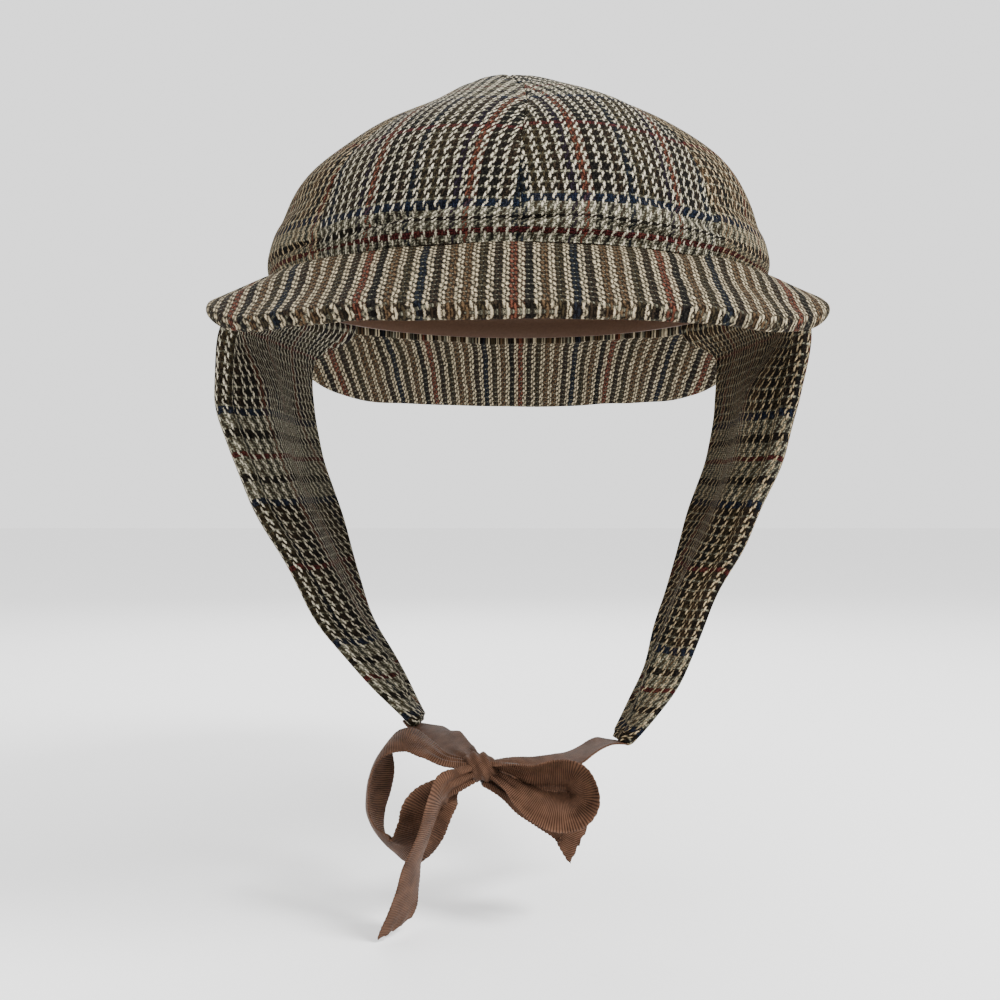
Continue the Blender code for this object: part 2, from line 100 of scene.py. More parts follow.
# %% Directions and distances on a grid of points
def unit(vectors):
    return vectors / np.maximum(np.linalg.norm(vectors, axis=-1, keepdims=True), 1e-12)


def normals(points):
    """The normals of a grid of points."""
    return unit(np.cross(np.gradient(points, axis=1), np.gradient(points, axis=0)))


def run_length(points, axis):
    """How far each point of a grid is from the first one, along its line."""
    steps = np.linalg.norm(np.diff(points, axis=axis), axis=-1)
    start = np.zeros_like(np.take(steps, [0], axis=axis))
    return np.concatenate([start, np.cumsum(steps, axis=axis)], axis=axis)


def edge_rounding(distance, radius):
    """1 inside a sheet, falling to 0 at its edge along a quarter circle."""
    inward = 1 - np.clip(distance / radius, 0, 1)
    return np.sqrt(1 - inward**2)


def two_faces(skin, way, cloth, thick):
    """Both faces of a cloth. Where it is fully thick, the skin is its outer face."""
    middle = skin - way * (cloth / 2)
    half = (thick / 2)[..., None]
    return middle + way * half, middle - way * half


print("half way into a rounded edge, a sheet is", edge_rounding(0.5, 1), "of its thickness")


# %% Soft waves
def waves(points, size, seed):
    """Soft uneven waves between about -1 and 1, of roughly that size."""
    rng = np.random.default_rng(seed)
    total = 0
    for _ in range(7):
        way = unit(rng.normal(size=3)) * 2 * pi / (size * rng.uniform(0.7, 1.6))
        total = total + np.sin(points @ way + rng.uniform(0, 2 * pi))
    return total / 3.5


print("a wave at the origin:", waves(np.zeros(3), 0.03, 1))

# %% [markdown]
# ## From points to a closed mesh
# Real cloth has a thickness, and its edges are what the eye checks first. A Solidify modifier
# would give every edge the same square cut. `closed_sheet` joins an outer and an inner grid of
# points instead, so an edge can be rounded, rolled or pressed thin at a seam. The cloth's own
# place, in metres, goes into the UV map, and the weave is drawn from it.

# %% Closed sheets
WELD = 1e-6


def closed_sheet(name, outer, inner, uv, material):
    """One closed mesh from an outer and an inner grid of points, with a uv in metres for each."""
    rows, columns = outer.shape[:2]
    number = np.arange(rows * columns).reshape(rows, columns)
    quads = np.stack(
        [number[:-1, :-1], number[:-1, 1:], number[1:, 1:], number[1:, :-1]], axis=-1
    ).reshape(-1, 4)
    inside = number + rows * columns
    round_edge = [number[0, :], number[:, -1], number[-1, ::-1], number[::-1, 0]]
    round_inside = [inside[0, :], inside[:, -1], inside[-1, ::-1], inside[::-1, 0]]
    faces = [quads, quads[:, ::-1] + rows * columns]
    for edge, back in zip(round_edge, round_inside):
        faces.append(np.stack([edge[1:], edge[:-1], back[:-1], back[1:]], axis=-1))
    faces = np.concatenate(faces)
    mesh = bpy.data.meshes.new(name)
    mesh.from_pydata(np.concatenate([outer, inner]).reshape(-1, 3).tolist(), [], faces.tolist())
    layer = mesh.uv_layers.new(name="cloth")
    both = np.concatenate([face_uv.reshape(-1, 2) for face_uv in uv])
    layer.data.foreach_set("uv", both[faces.ravel()].ravel())
    shape = bmesh.new()
    shape.from_mesh(mesh)
    bmesh.ops.remove_doubles(shape, verts=shape.verts, dist=WELD)
    bmesh.ops.recalc_face_normals(shape, faces=shape.faces)
    shape.to_mesh(mesh)
    shape.free()
    sheet = bpy.data.objects.new(name, mesh)
    bpy.context.scene.collection.objects.link(sheet)
    mesh.materials.append(material)
    mesh.shade_smooth()
    return sheet


print("points nearer than", WELD, "m are joined")

# %% [markdown]
# ## The camera
# The photo was taken level and from straight in front, a little below the peak, so it looks up
# under it. It was also taken from near by, and the front of the hat looks larger than its back.
# A long lens from far away would be easier to fit, but it would lose that perspective. So the
# distance and the lens come first, and the hat is fitted to them.

# %% Camera
CAMERA_BACK = 0.490
CAMERA_DOWN = 0.0765
LENS = 46.8
SENSOR = 36
SIDE_SHIFT = -0.018
camera_data = bpy.data.cameras.new("camera")
camera_data.sensor_width = SENSOR
camera_data.lens = LENS
camera_data.shift_x = SIDE_SHIFT
camera_data.clip_start = 0.01
camera = bpy.data.objects.new("camera", camera_data)
camera.location = (0, -CAMERA_BACK, -CAMERA_DOWN)
camera.rotation_euler = (radians(90), 0, 0)
bpy.context.scene.collection.objects.link(camera)
bpy.context.scene.camera = camera
print("camera", camera.location[:], "lens", camera_data.lens)

# %% [markdown]
# ## Floor and light
# A product photo has a pale ground and light from all sides, so that shadows are soft and dark
# threads can still be told apart. A bright world gives that even light, and a large pale plane
# just below the ribbon catches a faint shadow. Three area lamps do the rest: a key lamp from the
# upper right for the folds, a weak fill lamp, and one behind for the outline.

# %% A pale floor
FLOOR = -0.2175
FLOOR_SIZE = 12
bpy.ops.object.select_all(action="DESELECT")
bpy.ops.mesh.primitive_plane_add(size=FLOOR_SIZE, location=(0, 0, FLOOR))
floor = bpy.context.object
floor.name = "floor"
floor_material = bpy.data.materials.new("pale_floor")
floor_material.use_nodes = True
floor_shader = floor_material.node_tree.nodes["Principled BSDF"]
floor_shader.inputs["Base Color"].default_value = (0.9, 0.9, 0.9, 1)
floor_shader.inputs["Roughness"].default_value = 0.9
floor.data.materials.append(floor_material)
print("floor at", FLOOR)

# %% Soft studio light
WORLD_LIGHT = 1.7
world = bpy.data.worlds.new("studio")
world.use_nodes = True
world.node_tree.nodes["Background"].inputs["Color"].default_value = (1, 1, 1, 1)
world.node_tree.nodes["Background"].inputs["Strength"].default_value = WORLD_LIGHT
bpy.context.scene.world = world

Lamp = namedtuple("Lamp", "name place aim size watts")
LAMPS = [
    Lamp("key", (0.75, -0.60, 0.80), (0, 0, 0), 0.4, 30),
    Lamp("fill", (-0.7, -0.8, 0.25), (0, 0, -0.05), 0.7, 4),
    Lamp("back", (-0.1, 0.9, 0.6), (0, 0, 0), 0.6, 8),
]


def add_lamp(lamp):
    light = bpy.data.lights.new(lamp.name, "AREA")
    light.size = lamp.size
    light.energy = lamp.watts
    holder = bpy.data.objects.new(lamp.name, light)
    holder.location = lamp.place
    way = holder.location - Vector(lamp.aim)
    holder.rotation_euler = way.to_track_quat("Z", "Y").to_euler()
    bpy.context.scene.collection.objects.link(holder)


for lamp in LAMPS:
    add_lamp(lamp)
print(len(LAMPS), "lamps")

# %% [markdown]
# ## Helpers for materials
# A material is a tree of nodes, and a woven one takes many small sums. It could be wired by hand
# in the shader editor. These helpers each add one node and link it up, so that a long material
# reads like a few lines of arithmetic.

# %% Node helpers
def feed(tree, socket, value):
    """Links a socket into another one, or types a value into it."""
    if isinstance(value, bpy.types.NodeSocket):
        tree.links.new(value, socket)
    elif value is not None:
        socket.default_value = value


def calc(tree, operation, first, second=None, third=None):
    node = tree.nodes.new("ShaderNodeMath")
    node.operation = operation
    for socket, value in zip(node.inputs, (first, second, third)):
        feed(tree, socket, value)
    return node.outputs[0]


def blend(tree, factor, first, second, mode="MIX"):
    node = tree.nodes.new("ShaderNodeMix")
    node.data_type = "RGBA"
    node.blend_type = mode
    feed(tree, node.inputs["Factor"], factor)
    feed(tree, node.inputs[6], first)
    feed(tree, node.inputs[7], second)
    return node.outputs[2]


def noise(tree, vector, scale, detail=2.0, output="Fac"):
    node = tree.nodes.new("ShaderNodeTexNoise")
    node.inputs["Scale"].default_value = scale
    node.inputs["Detail"].default_value = detail
    feed(tree, node.inputs["Vector"], vector)
    return node.outputs[output]


def square(tree, value, scale):
    scaled = calc(tree, "MULTIPLY", value, scale)
    return calc(tree, "MULTIPLY", scaled, scaled)


def split_place(tree, place):
    """The first two parts of a vector, such as how far across and along the cloth it is."""
    split = tree.nodes.new("ShaderNodeSeparateXYZ")
    tree.links.new(place, split.inputs[0])
    return split.outputs[0], split.outputs[1]


def grey_of(tree, value):
    grey = tree.nodes.new("ShaderNodeCombineXYZ")
    for socket in grey.inputs:
        tree.links.new(value, socket)
    return grey.outputs[0]


# %% Colour bands, groups and relief
def bands(tree, place, stops):
    """A colour ramp of plain bands: each stop is (where it starts, colour)."""
    node = tree.nodes.new("ShaderNodeValToRGB")
    ramp = node.color_ramp
    ramp.interpolation = "CONSTANT"
    ramp.elements.remove(ramp.elements[1])
    for index, (start, colour) in enumerate(stops):
        stop = ramp.elements[0] if index == 0 else ramp.elements.new(start)
        stop.position = start
        stop.color = (*colour, 1)
    feed(tree, node.inputs[0], place)
    return node.outputs[0]


def new_group(name, inputs, outputs):
    """An empty node group with its sockets: (name, kind, value) going in, (name, kind) out."""
    tree = bpy.data.node_groups.new(name, "ShaderNodeTree")
    for label, kind, value in inputs:
        socket = tree.interface.new_socket(label, in_out="INPUT", socket_type=kind)
        socket.default_value = value
    for label, kind in outputs:
        tree.interface.new_socket(label, in_out="OUTPUT", socket_type=kind)
    return tree, tree.nodes.new("NodeGroupInput").outputs, tree.nodes.new("NodeGroupOutput").inputs


def cloth_material(name, roughness, gloss):
    """A new material with its tree, its shader and the place on the cloth in metres."""
    material = bpy.data.materials.new(name)
    material.use_nodes = True
    tree = material.node_tree
    shader = tree.nodes["Principled BSDF"]
    shader.inputs["Roughness"].default_value = roughness
    shader.inputs["Specular IOR Level"].default_value = gloss
    cloth = tree.nodes.new("ShaderNodeUVMap")
    cloth.uv_map = "cloth"
    return material, tree, shader, cloth.outputs[0]


def add_bump(tree, shader, height, distance, strength):
    """Fine relief: a height of 1 stands out by the distance, in metres."""
    bump = tree.nodes.new("ShaderNodeBump")
    bump.inputs["Distance"].default_value = distance
    bump.inputs["Strength"].default_value = strength
    tree.links.new(height, bump.inputs["Height"])
    tree.links.new(bump.outputs[0], shader.inputs["Normal"])


print("material helpers ready")

# %% [markdown]
# ## The tweed
# The cloth is a check of woollen yarns: pairs of cream threads, with black, brown, olive and now
# and then a rust or navy one between them. It is a twill, so each lengthwise thread floats over
# the crosswise ones in short slanted stitches, and these zigzag where two cream threads lie side
# by side. A picture of cloth would be the common way, but it blurs close up and shows where it
# repeats. Here the colour is worked out thread by thread from the place on the cloth, so the
# check follows the cut of every piece and stays sharp.

# %% Threads and their colours
THREAD = 0.00093
TWILL = 4
# A float, measured in threads: how far on each is, its half sizes, slant, edge and raggedness
Floats = namedtuple("Floats", "step length width slant edge ragged")
CROWN_FLOATS = Floats(1.9, 1.45, 0.44, 0.16, 0.95, 2.2)
PEAK_FLOATS = Floats(2.0, 1.80, 0.44, 0.09, 0.70, 2.2)
CREAM = (0.42, 0.375, 0.28)
# A browner, darker cream for the side panels, and as painted shade for the right flap, whose inner face
# turns away from the light
BROWNER_CREAM = (0.32, 0.245, 0.145)
WORN_CREAM = (0.32, 0.265, 0.175)
PALE = (0.20, 0.19, 0.135)
BLACK = (0.0075, 0.0065, 0.0055)
BROWN = (0.020, 0.0135, 0.008)
OLIVE = (0.029, 0.022, 0.011)
TAN = (0.075, 0.046, 0.023)
RUST = (0.095, 0.031, 0.018)
RED = (0.068, 0.013, 0.012)
NAVY = (0.006, 0.011, 0.023)
INK = (0.0055, 0.008, 0.013)
PURPLE = (0.011, 0.007, 0.013)
print("a thread is", THREAD, "m wide, and a float", CROWN_FLOATS.length * 2 * THREAD, "m long")

# %% Stripes of the warp and bands of the weft
# The dark stripe between two cream ones, one after the other, four threads apart
CROWN_STRIPES = [RUST, BLACK, BLACK, BROWN, INK, OLIVE, OLIVE, BROWN, PURPLE]
SIDE_STRIPES = [RUST, BROWN, TAN, BROWN, BLACK, OLIVE, TAN, BROWN, BLACK]
PEAK_STRIPES = [RUST, BLACK, TAN, OLIVE, INK, BROWN, TAN, TAN, OLIVE, BROWN]

# The weft by its threads: light is 1 for pale threads, 0.5 for one in four and 0 for none
WeftBand = namedtuple("WeftBand", "start light dark")
WEFT_REPEAT = 100
WEFT = [
    WeftBand(0, 0.0, RED),
    WeftBand(2, 1.0, BROWN),
    WeftBand(8, 0.0, BLACK),
    WeftBand(11, 1.0, BROWN),
    WeftBand(17, 0.0, NAVY),
    WeftBand(20, 0.5, BLACK),
    WeftBand(34, 0.5, BROWN),
    WeftBand(52, 0.0, RED),
    WeftBand(54, 0.5, BLACK),
    WeftBand(66, 0.5, BROWN),
    WeftBand(80, 0.0, NAVY),
    WeftBand(83, 1.0, BROWN),
    WeftBand(90, 0.0, BLACK),
    WeftBand(93, 1.0, BROWN),
]
PLAIN_WEFT = [WeftBand(0, 0.5, BROWN), WeftBand(60, 0.5, BLACK)]
print(len(WEFT), "bands in the weft, repeating after", WEFT_REPEAT * THREAD, "m")


# %% Where a point is among the threads
# How far the yarns wander, in threads: slowly, and quickly across and along the cloth
SLOW_WANDER = 1.3
FAST_WANDER = (0.75, 0.5)
SLOW_NOISE = 240
FAST_NOISE = 1500


def weave_place(tree, across, along):
    """The place on the cloth, and the same in threads with the yarns wandering."""
    join = tree.nodes.new("ShaderNodeCombineXYZ")
    tree.links.new(across, join.inputs[0])
    tree.links.new(along, join.inputs[1])
    place = join.outputs[0]
    slow = split_place(tree, noise(tree, place, SLOW_NOISE, 2, "Color"))
    fast = split_place(tree, noise(tree, place, FAST_NOISE, 2, "Color"))
    threads = []
    for way, start in enumerate((across, along)):
        moved = calc(tree, "DIVIDE", start, THREAD)
        moved = calc(tree, "MULTIPLY_ADD", slow[way], SLOW_WANDER, moved)
        threads.append(calc(tree, "MULTIPLY_ADD", fast[way], FAST_WANDER[way], moved))
    return place, threads[0], threads[1]


print("yarns wander by up to", SLOW_WANDER, "threads")

# %% Which thread is on top
RAGGED_NOISE = 1900


def float_oval(tree, place, x, y, warp, floats):
    """Above 0 inside a float, which is a slanted oval with a ragged edge.

    A warp thread floats once in four wefts, about two of them further on than its neighbour, so
    a pair zigzags up the cloth.
    """
    ragged = calc(tree, "SUBTRACT", noise(tree, place, RAGGED_NOISE, 2), 0.5)
    along = calc(tree, "MULTIPLY_ADD", warp, -floats.step, y)
    along = calc(tree, "SUBTRACT", calc(tree, "FLOORED_MODULO", along, TWILL), TWILL / 2)
    aside = calc(tree, "SUBTRACT", calc(tree, "FRACT", x), 0.5)
    aside = calc(tree, "MULTIPLY_ADD", along, -floats.slant, aside)
    lengthways = square(tree, along, 1 / floats.length)
    oval = calc(tree, "ADD", lengthways, square(tree, aside, 1 / floats.width))
    return calc(tree, "MULTIPLY_ADD", ragged, floats.ragged, calc(tree, "SUBTRACT", 1, oval))


def float_height(tree, oval, y):
    """The rounded back of each float, and the flatter weft where the cloth is open."""
    warp_round = calc(tree, "SQRT", calc(tree, "MAXIMUM", oval, 0))
    weft_round = calc(tree, "SINE", calc(tree, "MULTIPLY", calc(tree, "FRACT", y), pi))
    open_place = calc(tree, "MAXIMUM", calc(tree, "MULTIPLY", oval, -1), 0)
    open_place = calc(tree, "MINIMUM", open_place, 1)
    weft_round = calc(tree, "MULTIPLY", weft_round, calc(tree, "MULTIPLY", open_place, 0.8))
    return calc(tree, "MAXIMUM", warp_round, weft_round)


print("one float in", TWILL, "threads")

# %% The colours of the threads
# How much the weft's colour tints the dark warps: in its plain lines, and how much less in a check
LINE_TINT = 0.7
CHECK_TINT = -0.55
WARP_TINT = 0.45


def stripe_colours(tree, warp, stripes):
    """The dark colour of a warp thread, and whether it is one of the two cream ones in four."""
    repeat = TWILL * len(stripes)
    in_repeat = calc(tree, "FLOORED_MODULO", calc(tree, "ADD", warp, 0.5), repeat)
    stops = [(index / len(stripes), colour) for index, colour in enumerate(stripes)]
    dark = bands(tree, calc(tree, "DIVIDE", in_repeat, repeat), stops)
    is_light = calc(tree, "GREATER_THAN", calc(tree, "FLOORED_MODULO", warp, TWILL), 1.5)
    return dark, is_light


def band_colours(tree, weft, table):
    """The dark colour of a weft thread, how much it tints the warp and whether it is light."""
    in_repeat = calc(tree, "FLOORED_MODULO", calc(tree, "ADD", weft, 0.5), WEFT_REPEAT)
    share = calc(tree, "DIVIDE", in_repeat, WEFT_REPEAT)
    dark = bands(tree, share, [(band.start / WEFT_REPEAT, band.dark) for band in table])
    light = bands(tree, share, [(band.start / WEFT_REPEAT, (band.light,) * 3) for band in table])
    one_in_four = calc(tree, "LESS_THAN", calc(tree, "FLOORED_MODULO", weft, TWILL), 0.5)
    some = calc(tree, "GREATER_THAN", light, 0.3)
    is_light = calc(tree, "MULTIPLY", one_in_four, some)
    is_light = calc(tree, "MAXIMUM", is_light, calc(tree, "GREATER_THAN", light, 0.8))
    return dark, calc(tree, "MULTIPLY_ADD", some, CHECK_TINT, LINE_TINT), is_light


def thread_colours(tree, warp, weft, stripes, table, cream):
    """The colours of the warp and the weft thread that cross at a place.

    The dark threads are hairy, so each takes some colour from the ones it crosses.
    """
    warp_dark, warp_light = stripe_colours(tree, warp, stripes)
    weft_dark, weft_tint, weft_light = band_colours(tree, weft, table)
    dark_warp = blend(tree, weft_tint, warp_dark, weft_dark)
    dark_weft = blend(tree, WARP_TINT, weft_dark, dark_warp)
    warp_colour = blend(tree, warp_light, dark_warp, (*cream, 1))
    weft_colour = blend(tree, weft_light, dark_weft, (*PALE, 1))
    return warp_colour, weft_colour


print("a weft line tints the dark warps by", LINE_TINT)

# %% [markdown]
# ## Three tweeds from one recipe
# Wool looks uneven close up: fibres catch the light, and the dye is mottled. That could be added
# by a bump alone, but a bump doesn't darken the gaps between the stitches, and those gaps are
# what make the pattern crisp. So the painted shade in the gaps comes from the same height that
# gives the relief. The recipe is a node group with a place going in, and a colour and a height
# coming out. The crown, its browner side panels and the paler, softer peaks each get one with
# their own yarns. The right flap takes the side panels' one, whose browner cream is painted shade
# there.

# %% The tweed groups
FIBRE_NOISE = 2600
HEATHER_NOISE = 480
FIBRE_HEIGHT = 0.35


def painted_shade_by_height(tree, place, height):
    """The painted shade between the floats, from their height, made uneven by the fibres and the
    mottled dye; and the height with its fibres.
    """
    fibres = noise(tree, place, FIBRE_NOISE, 3)
    heather = noise(tree, place, HEATHER_NOISE, 3)
    shade = calc(tree, "MULTIPLY_ADD", height, 0.95, 0.12)
    shade = calc(tree, "MULTIPLY", shade, calc(tree, "MULTIPLY_ADD", fibres, 1.7, 0.15))
    shade = calc(tree, "MULTIPLY", shade, calc(tree, "MULTIPLY_ADD", heather, 2.6, -0.30))
    return shade, calc(tree, "MULTIPLY_ADD", fibres, FIBRE_HEIGHT, height)


def make_tweed_group(name, stripes, weft_table, cream, floats):
    inputs = [("Across", "NodeSocketFloat", 0.0), ("Along", "NodeSocketFloat", 0.0)]
    outputs = [("Color", "NodeSocketColor"), ("Height", "NodeSocketFloat")]
    tree, given, result = new_group(name, inputs, outputs)
    place, x, y = weave_place(tree, given["Across"], given["Along"])
    warp, weft = calc(tree, "FLOOR", x), calc(tree, "FLOOR", y)
    oval = float_oval(tree, place, x, y, warp, floats)
    warp_up = calc(tree, "MULTIPLY_ADD", oval, floats.edge, 0.5)
    warp_colour, weft_colour = thread_colours(tree, warp, weft, stripes, weft_table, cream)
    colour = blend(tree, warp_up, weft_colour, warp_colour)
    shade, height = painted_shade_by_height(tree, place, float_height(tree, oval, y))
    # Painted shade: the colour darkens in the gaps between the floats
    colour = blend(tree, 1.0, colour, grey_of(tree, shade), "MULTIPLY")
    tree.links.new(colour, result["Color"])
    tree.links.new(height, result["Height"])
    return tree


crown_weave = make_tweed_group("crown_weave", CROWN_STRIPES, WEFT, CREAM, CROWN_FLOATS)
side_weave = make_tweed_group("side_weave", SIDE_STRIPES, WEFT, BROWNER_CREAM, CROWN_FLOATS)
peak_weave = make_tweed_group("peak_weave", PEAK_STRIPES, PLAIN_WEFT, WORN_CREAM, PEAK_FLOATS)
print("tweed groups with", len(crown_weave.nodes), "nodes each")

# %% The tweed materials
TWEED_RELIEF = 0.0006


def make_tweed(name, group, across_start, along_start, scale=1.0):
    """A tweed whose pattern starts at a place on the cloth, in metres."""
    material, tree, shader, place = cloth_material(name, roughness=0.95, gloss=0.05)
    across, along = split_place(tree, place)
    across = calc(tree, "MULTIPLY_ADD", across, 1 / scale, across_start)
    along = calc(tree, "MULTIPLY_ADD", along, 1 / scale, along_start)
    weave = tree.nodes.new("ShaderNodeGroup")
    weave.node_tree = group
    tree.links.new(across, weave.inputs["Across"])
    tree.links.new(along, weave.inputs["Along"])
    tree.links.new(weave.outputs["Color"], shader.inputs["Base Color"])
    add_bump(tree, shader, weave.outputs["Height"], TWEED_RELIEF, 0.9)
    return material


print("a float stands out by", TWEED_RELIEF, "m")

# %% [markdown]
# ## Grosgrain and leather
# Grosgrain is a ribbon with fine ribs straight across it, and it has a soft sheen. The ribs could
# be modelled, but there are hundreds of them, each little over half a millimetre wide. So they
# are a sine wave along the ribbon's UV, which raises them and also paints a highlight on their
# backs and shade between them.
# The band inside the rim is plain brown leather, and a grainy noise is enough for it.

# %% Grosgrain
RIB = 0.00064
RIB_RELIEF = 0.00025
# The dark is painted shade between the ribs; the brown is the ribbon where a rib's back carries a
# painted highlight
RIBBON_SHADE = (0.012, 0.006, 0.0035, 1)
RIBBON_BROWN = (0.125, 0.063, 0.038, 1)


def make_grosgrain():
    material, tree, shader, place = cloth_material("grosgrain", roughness=0.55, gloss=0.07)
    along = split_place(tree, place)[1]
    rib = calc(tree, "ABSOLUTE", calc(tree, "SINE", calc(tree, "MULTIPLY", along, pi / RIB)))
    patch = calc(tree, "MULTIPLY_ADD", noise(tree, place, 200, 3), 0.9, -0.36)
    # Painted highlight on each rib's back and painted shade between the ribs, with a random mottle on
    # top
    light = calc(tree, "MULTIPLY_ADD", rib, 0.60, patch)
    colour = blend(tree, light, RIBBON_SHADE, RIBBON_BROWN)
    tree.links.new(colour, shader.inputs["Base Color"])
    add_bump(tree, shader, rib, RIB_RELIEF, 1.0)
    return material


grosgrain = make_grosgrain()
print("grosgrain with a rib every", RIB, "m")

# %% Leather
LEATHER_GRAIN = 900
LEATHER_RELIEF = 0.0002
LEATHER_SHADE = (0.058, 0.029, 0.016, 1)
LEATHER_BROWN = (0.130, 0.070, 0.042, 1)


def make_leather():
    material, tree, shader, place = cloth_material("band_leather", roughness=0.5, gloss=0.5)
    grain = noise(tree, place, LEATHER_GRAIN, 4)
    colour = blend(tree, grain, LEATHER_SHADE, LEATHER_BROWN)
    tree.links.new(colour, shader.inputs["Base Color"])
    add_bump(tree, shader, grain, LEATHER_RELIEF, 0.5)
    return material


leather = make_leather()
print("leather ready")

# %% [markdown]
# ## The crown
# The crown is sewn from eight gores, cut like the slices of a melon, that meet in a point at the
# top. One dome with painted seams would be quicker, but on the real hat each panel's check runs
# its own way and meets its neighbour at an angle, and each panel bulges a little between its
# seams. So each gore is a sheet of its own. They share one outline from the rim to the point,
# which makes their edges meet.

# %% Sizes of the crown
HEAD_WIDTH = 0.169
HEAD_LENGTH = 0.201
RIM_HALF_WIDTH = 0.0893
RIM_HALF_LENGTH = 0.1053
CROWN_HEIGHT = 0.0825
CLOTH = 0.0022
PUFF = 0.0016

CrownRow = namedtuple("CrownRow", "out high aside puff")
CROWN = [
    CrownRow(1.000, 0.000, 0.000, 0.6),
    CrownRow(1.004, 0.020, 0.000, 0.7),
    CrownRow(1.020, 0.070, 0.004, 0.9),
    CrownRow(1.010, 0.140, 0.006, 0.9),
    CrownRow(0.985, 0.220, 0.006, 1.0),
    CrownRow(0.950, 0.320, 0.006, 1.0),
    CrownRow(0.897, 0.420, 0.010, 1.0),
    CrownRow(0.822, 0.510, 0.020, 1.0),
    CrownRow(0.722, 0.600, 0.028, 1.0),
    CrownRow(0.605, 0.685, 0.032, 1.0),
    CrownRow(0.480, 0.765, 0.022, 0.9),
    CrownRow(0.355, 0.840, 0.000, 0.8),
    CrownRow(0.235, 0.910, -0.020, 0.6),
    CrownRow(0.115, 0.965, -0.035, 0.3),
    CrownRow(0.012, 1.000, -0.040, 0.0),
]
print("crown", 2 * RIM_HALF_WIDTH, "m wide,", 2 * RIM_HALF_LENGTH, "m long and", CROWN_HEIGHT, "m high")

# %% [markdown]
# ## Creases
# A worn cloth crown isn't a clean dome: it folds above the stiff peaks, and it dents where it was
# packed. Sculpting brushes could push those dents in, but they can't be repeated by a script. Each
# crease here is a soft valley with a place, a size, a slope and a depth, and all of them are
# taken away from the bulge of the panels.

# %% The creases
# The angle from the front in degrees, the share of the height, the half sizes in degrees and in
# shares, how far it climbs in a degree, and the depth
Crease = namedtuple("Crease", "angle row wide tall climb depth")
CREASES = [
    Crease(-24, 0.175, 11, 0.013, 0.0028, 0.0027),
    Crease(5, 0.160, 6, 0.012, 0.0030, 0.0017),
    Crease(24, 0.128, 9, 0.010, -0.0016, 0.0013),
    Crease(38, 0.205, 12, 0.018, -0.0030, 0.0015),
    Crease(-52, 0.150, 12, 0.014, 0.0016, 0.0017),
    Crease(-62, 0.33, 12, 0.040, 0.0, 0.0016),
    Crease(60, 0.30, 13, 0.035, 0.0, 0.0014),
    Crease(158, 0.20, 15, 0.014, 0.0010, 0.0018),
    Crease(-155, 0.16, 14, 0.014, -0.0008, 0.0018),
    Crease(-95, 0.73, 16, 0.040, 0.0, 0.0014),
    Crease(78, 0.89, 20, 0.040, 0.0, 0.0010),
    Crease(100, 0.68, 16, 0.045, 0.0, 0.0012),
]
print(len(CREASES), "creases, the deepest", max(crease.depth for crease in CREASES), "m")


# %% The crown's outer face
def crown_points(angle, row):
    out = along_table(column(CROWN, "out"), row)
    high = along_table(column(CROWN, "high"), row)
    aside = along_table(column(CROWN, "aside"), row)
    x = RIM_HALF_WIDTH * (out * np.sin(angle) + aside)
    y = -RIM_HALF_LENGTH * out * np.cos(angle)
    return np.stack([x, y, CROWN_HEIGHT * high], axis=-1)


def crown_relief(angle, row, across):
    """How far the outer face stands out: puff between the seams, less the creases."""
    relief = PUFF * along_table(column(CROWN, "puff"), row) * (1 - (2 * across - 1) ** 2)
    for crease in CREASES:
        turn = (angle - radians(crease.angle) + pi) % (2 * pi) - pi
        centre = crease.row + crease.climb * np.degrees(turn)
        away = (turn / radians(crease.wide)) ** 2 + ((row - centre) / crease.tall) ** 2
        relief = relief - crease.depth * np.exp(-away)
    return relief


print("the point of the crown is at", crown_points(np.zeros(1), np.ones(1))[0])

# %% One gore
PANELS = 8
PANEL_SWEEP = 2 * pi / PANELS
PANEL_ROWS = 170
PANEL_CELLS = 44
RIM_RADIUS = 0.098
# Near the point a panel has hardly any width, and its points are spaced as if it had this share
LEAST_WIDTH = 0.02
SEAM_ROUNDING = 0.0014
SEAM_THICKNESS = 0.35
# The stitches gather the cloth next to a seam, and the whole crown is softly uneven
PUCKER_REACH = 0.006
PUCKER = 0.0003
UNEVEN = 0.0005


def panel_grid(number):
    """A panel's points: share of the height, share across, angle, and distance to a seam."""
    row = np.linspace(0, 1, PANEL_ROWS + 1)
    out = along_table(column(CROWN, "out"), row)
    rim_width = PANEL_SWEEP * RIM_RADIUS
    width = rim_width * np.maximum(out, LEAST_WIDTH)
    across = edge_shares(width, SEAM_ROUNDING, 5, PANEL_CELLS)
    from_seam = np.minimum(across, 1 - across) * rim_width * out[:, None]
    row = np.repeat(row[:, None], across.shape[1], axis=1)
    return row, across, PANEL_SWEEP * (number + across), from_seam


def panel_skin(row, across, angle, from_seam):
    """The outer face of a panel, and the way it faces."""
    bare = crown_points(angle, row)
    way = normals(bare)
    pucker = np.exp(-((from_seam / PUCKER_REACH) ** 2)) * waves(bare, 0.009, 3) * PUCKER
    fade = smooth_step(0.0, 0.05, row) * smooth_step(1.0, 0.9, row)
    relief = crown_relief(angle, row, across)
    relief = relief + (waves(bare, 0.035, 8) * UNEVEN + pucker) * fade
    return bare + way * relief[..., None], way


print("a panel is", round(PANEL_SWEEP * RIM_RADIUS, 4), "m wide at the rim")

# %% [markdown]
# ## How the cloth lies on a gore
# A tailor cuts each gore with its middle along the threads. So the UV runs from the middle of the
# panel to both sides and from the rim up, in metres on the cloth. Where the crown folds above a
# peak, some cloth disappears into the fold. Folding the mesh over itself would be truer but easily
# tears, so the pattern simply jumps ahead by the hidden length there.

# %% The place of each point on the cloth
# The cloth that a fold hides, how far above the rim the red line is, and where the fold is and
# half how wide, in shares of the height
FOLD_CLOTH = 0.0045
RED_LINE = 0.0035
FOLD_AT = 0.14
FOLD_HALF = 0.02


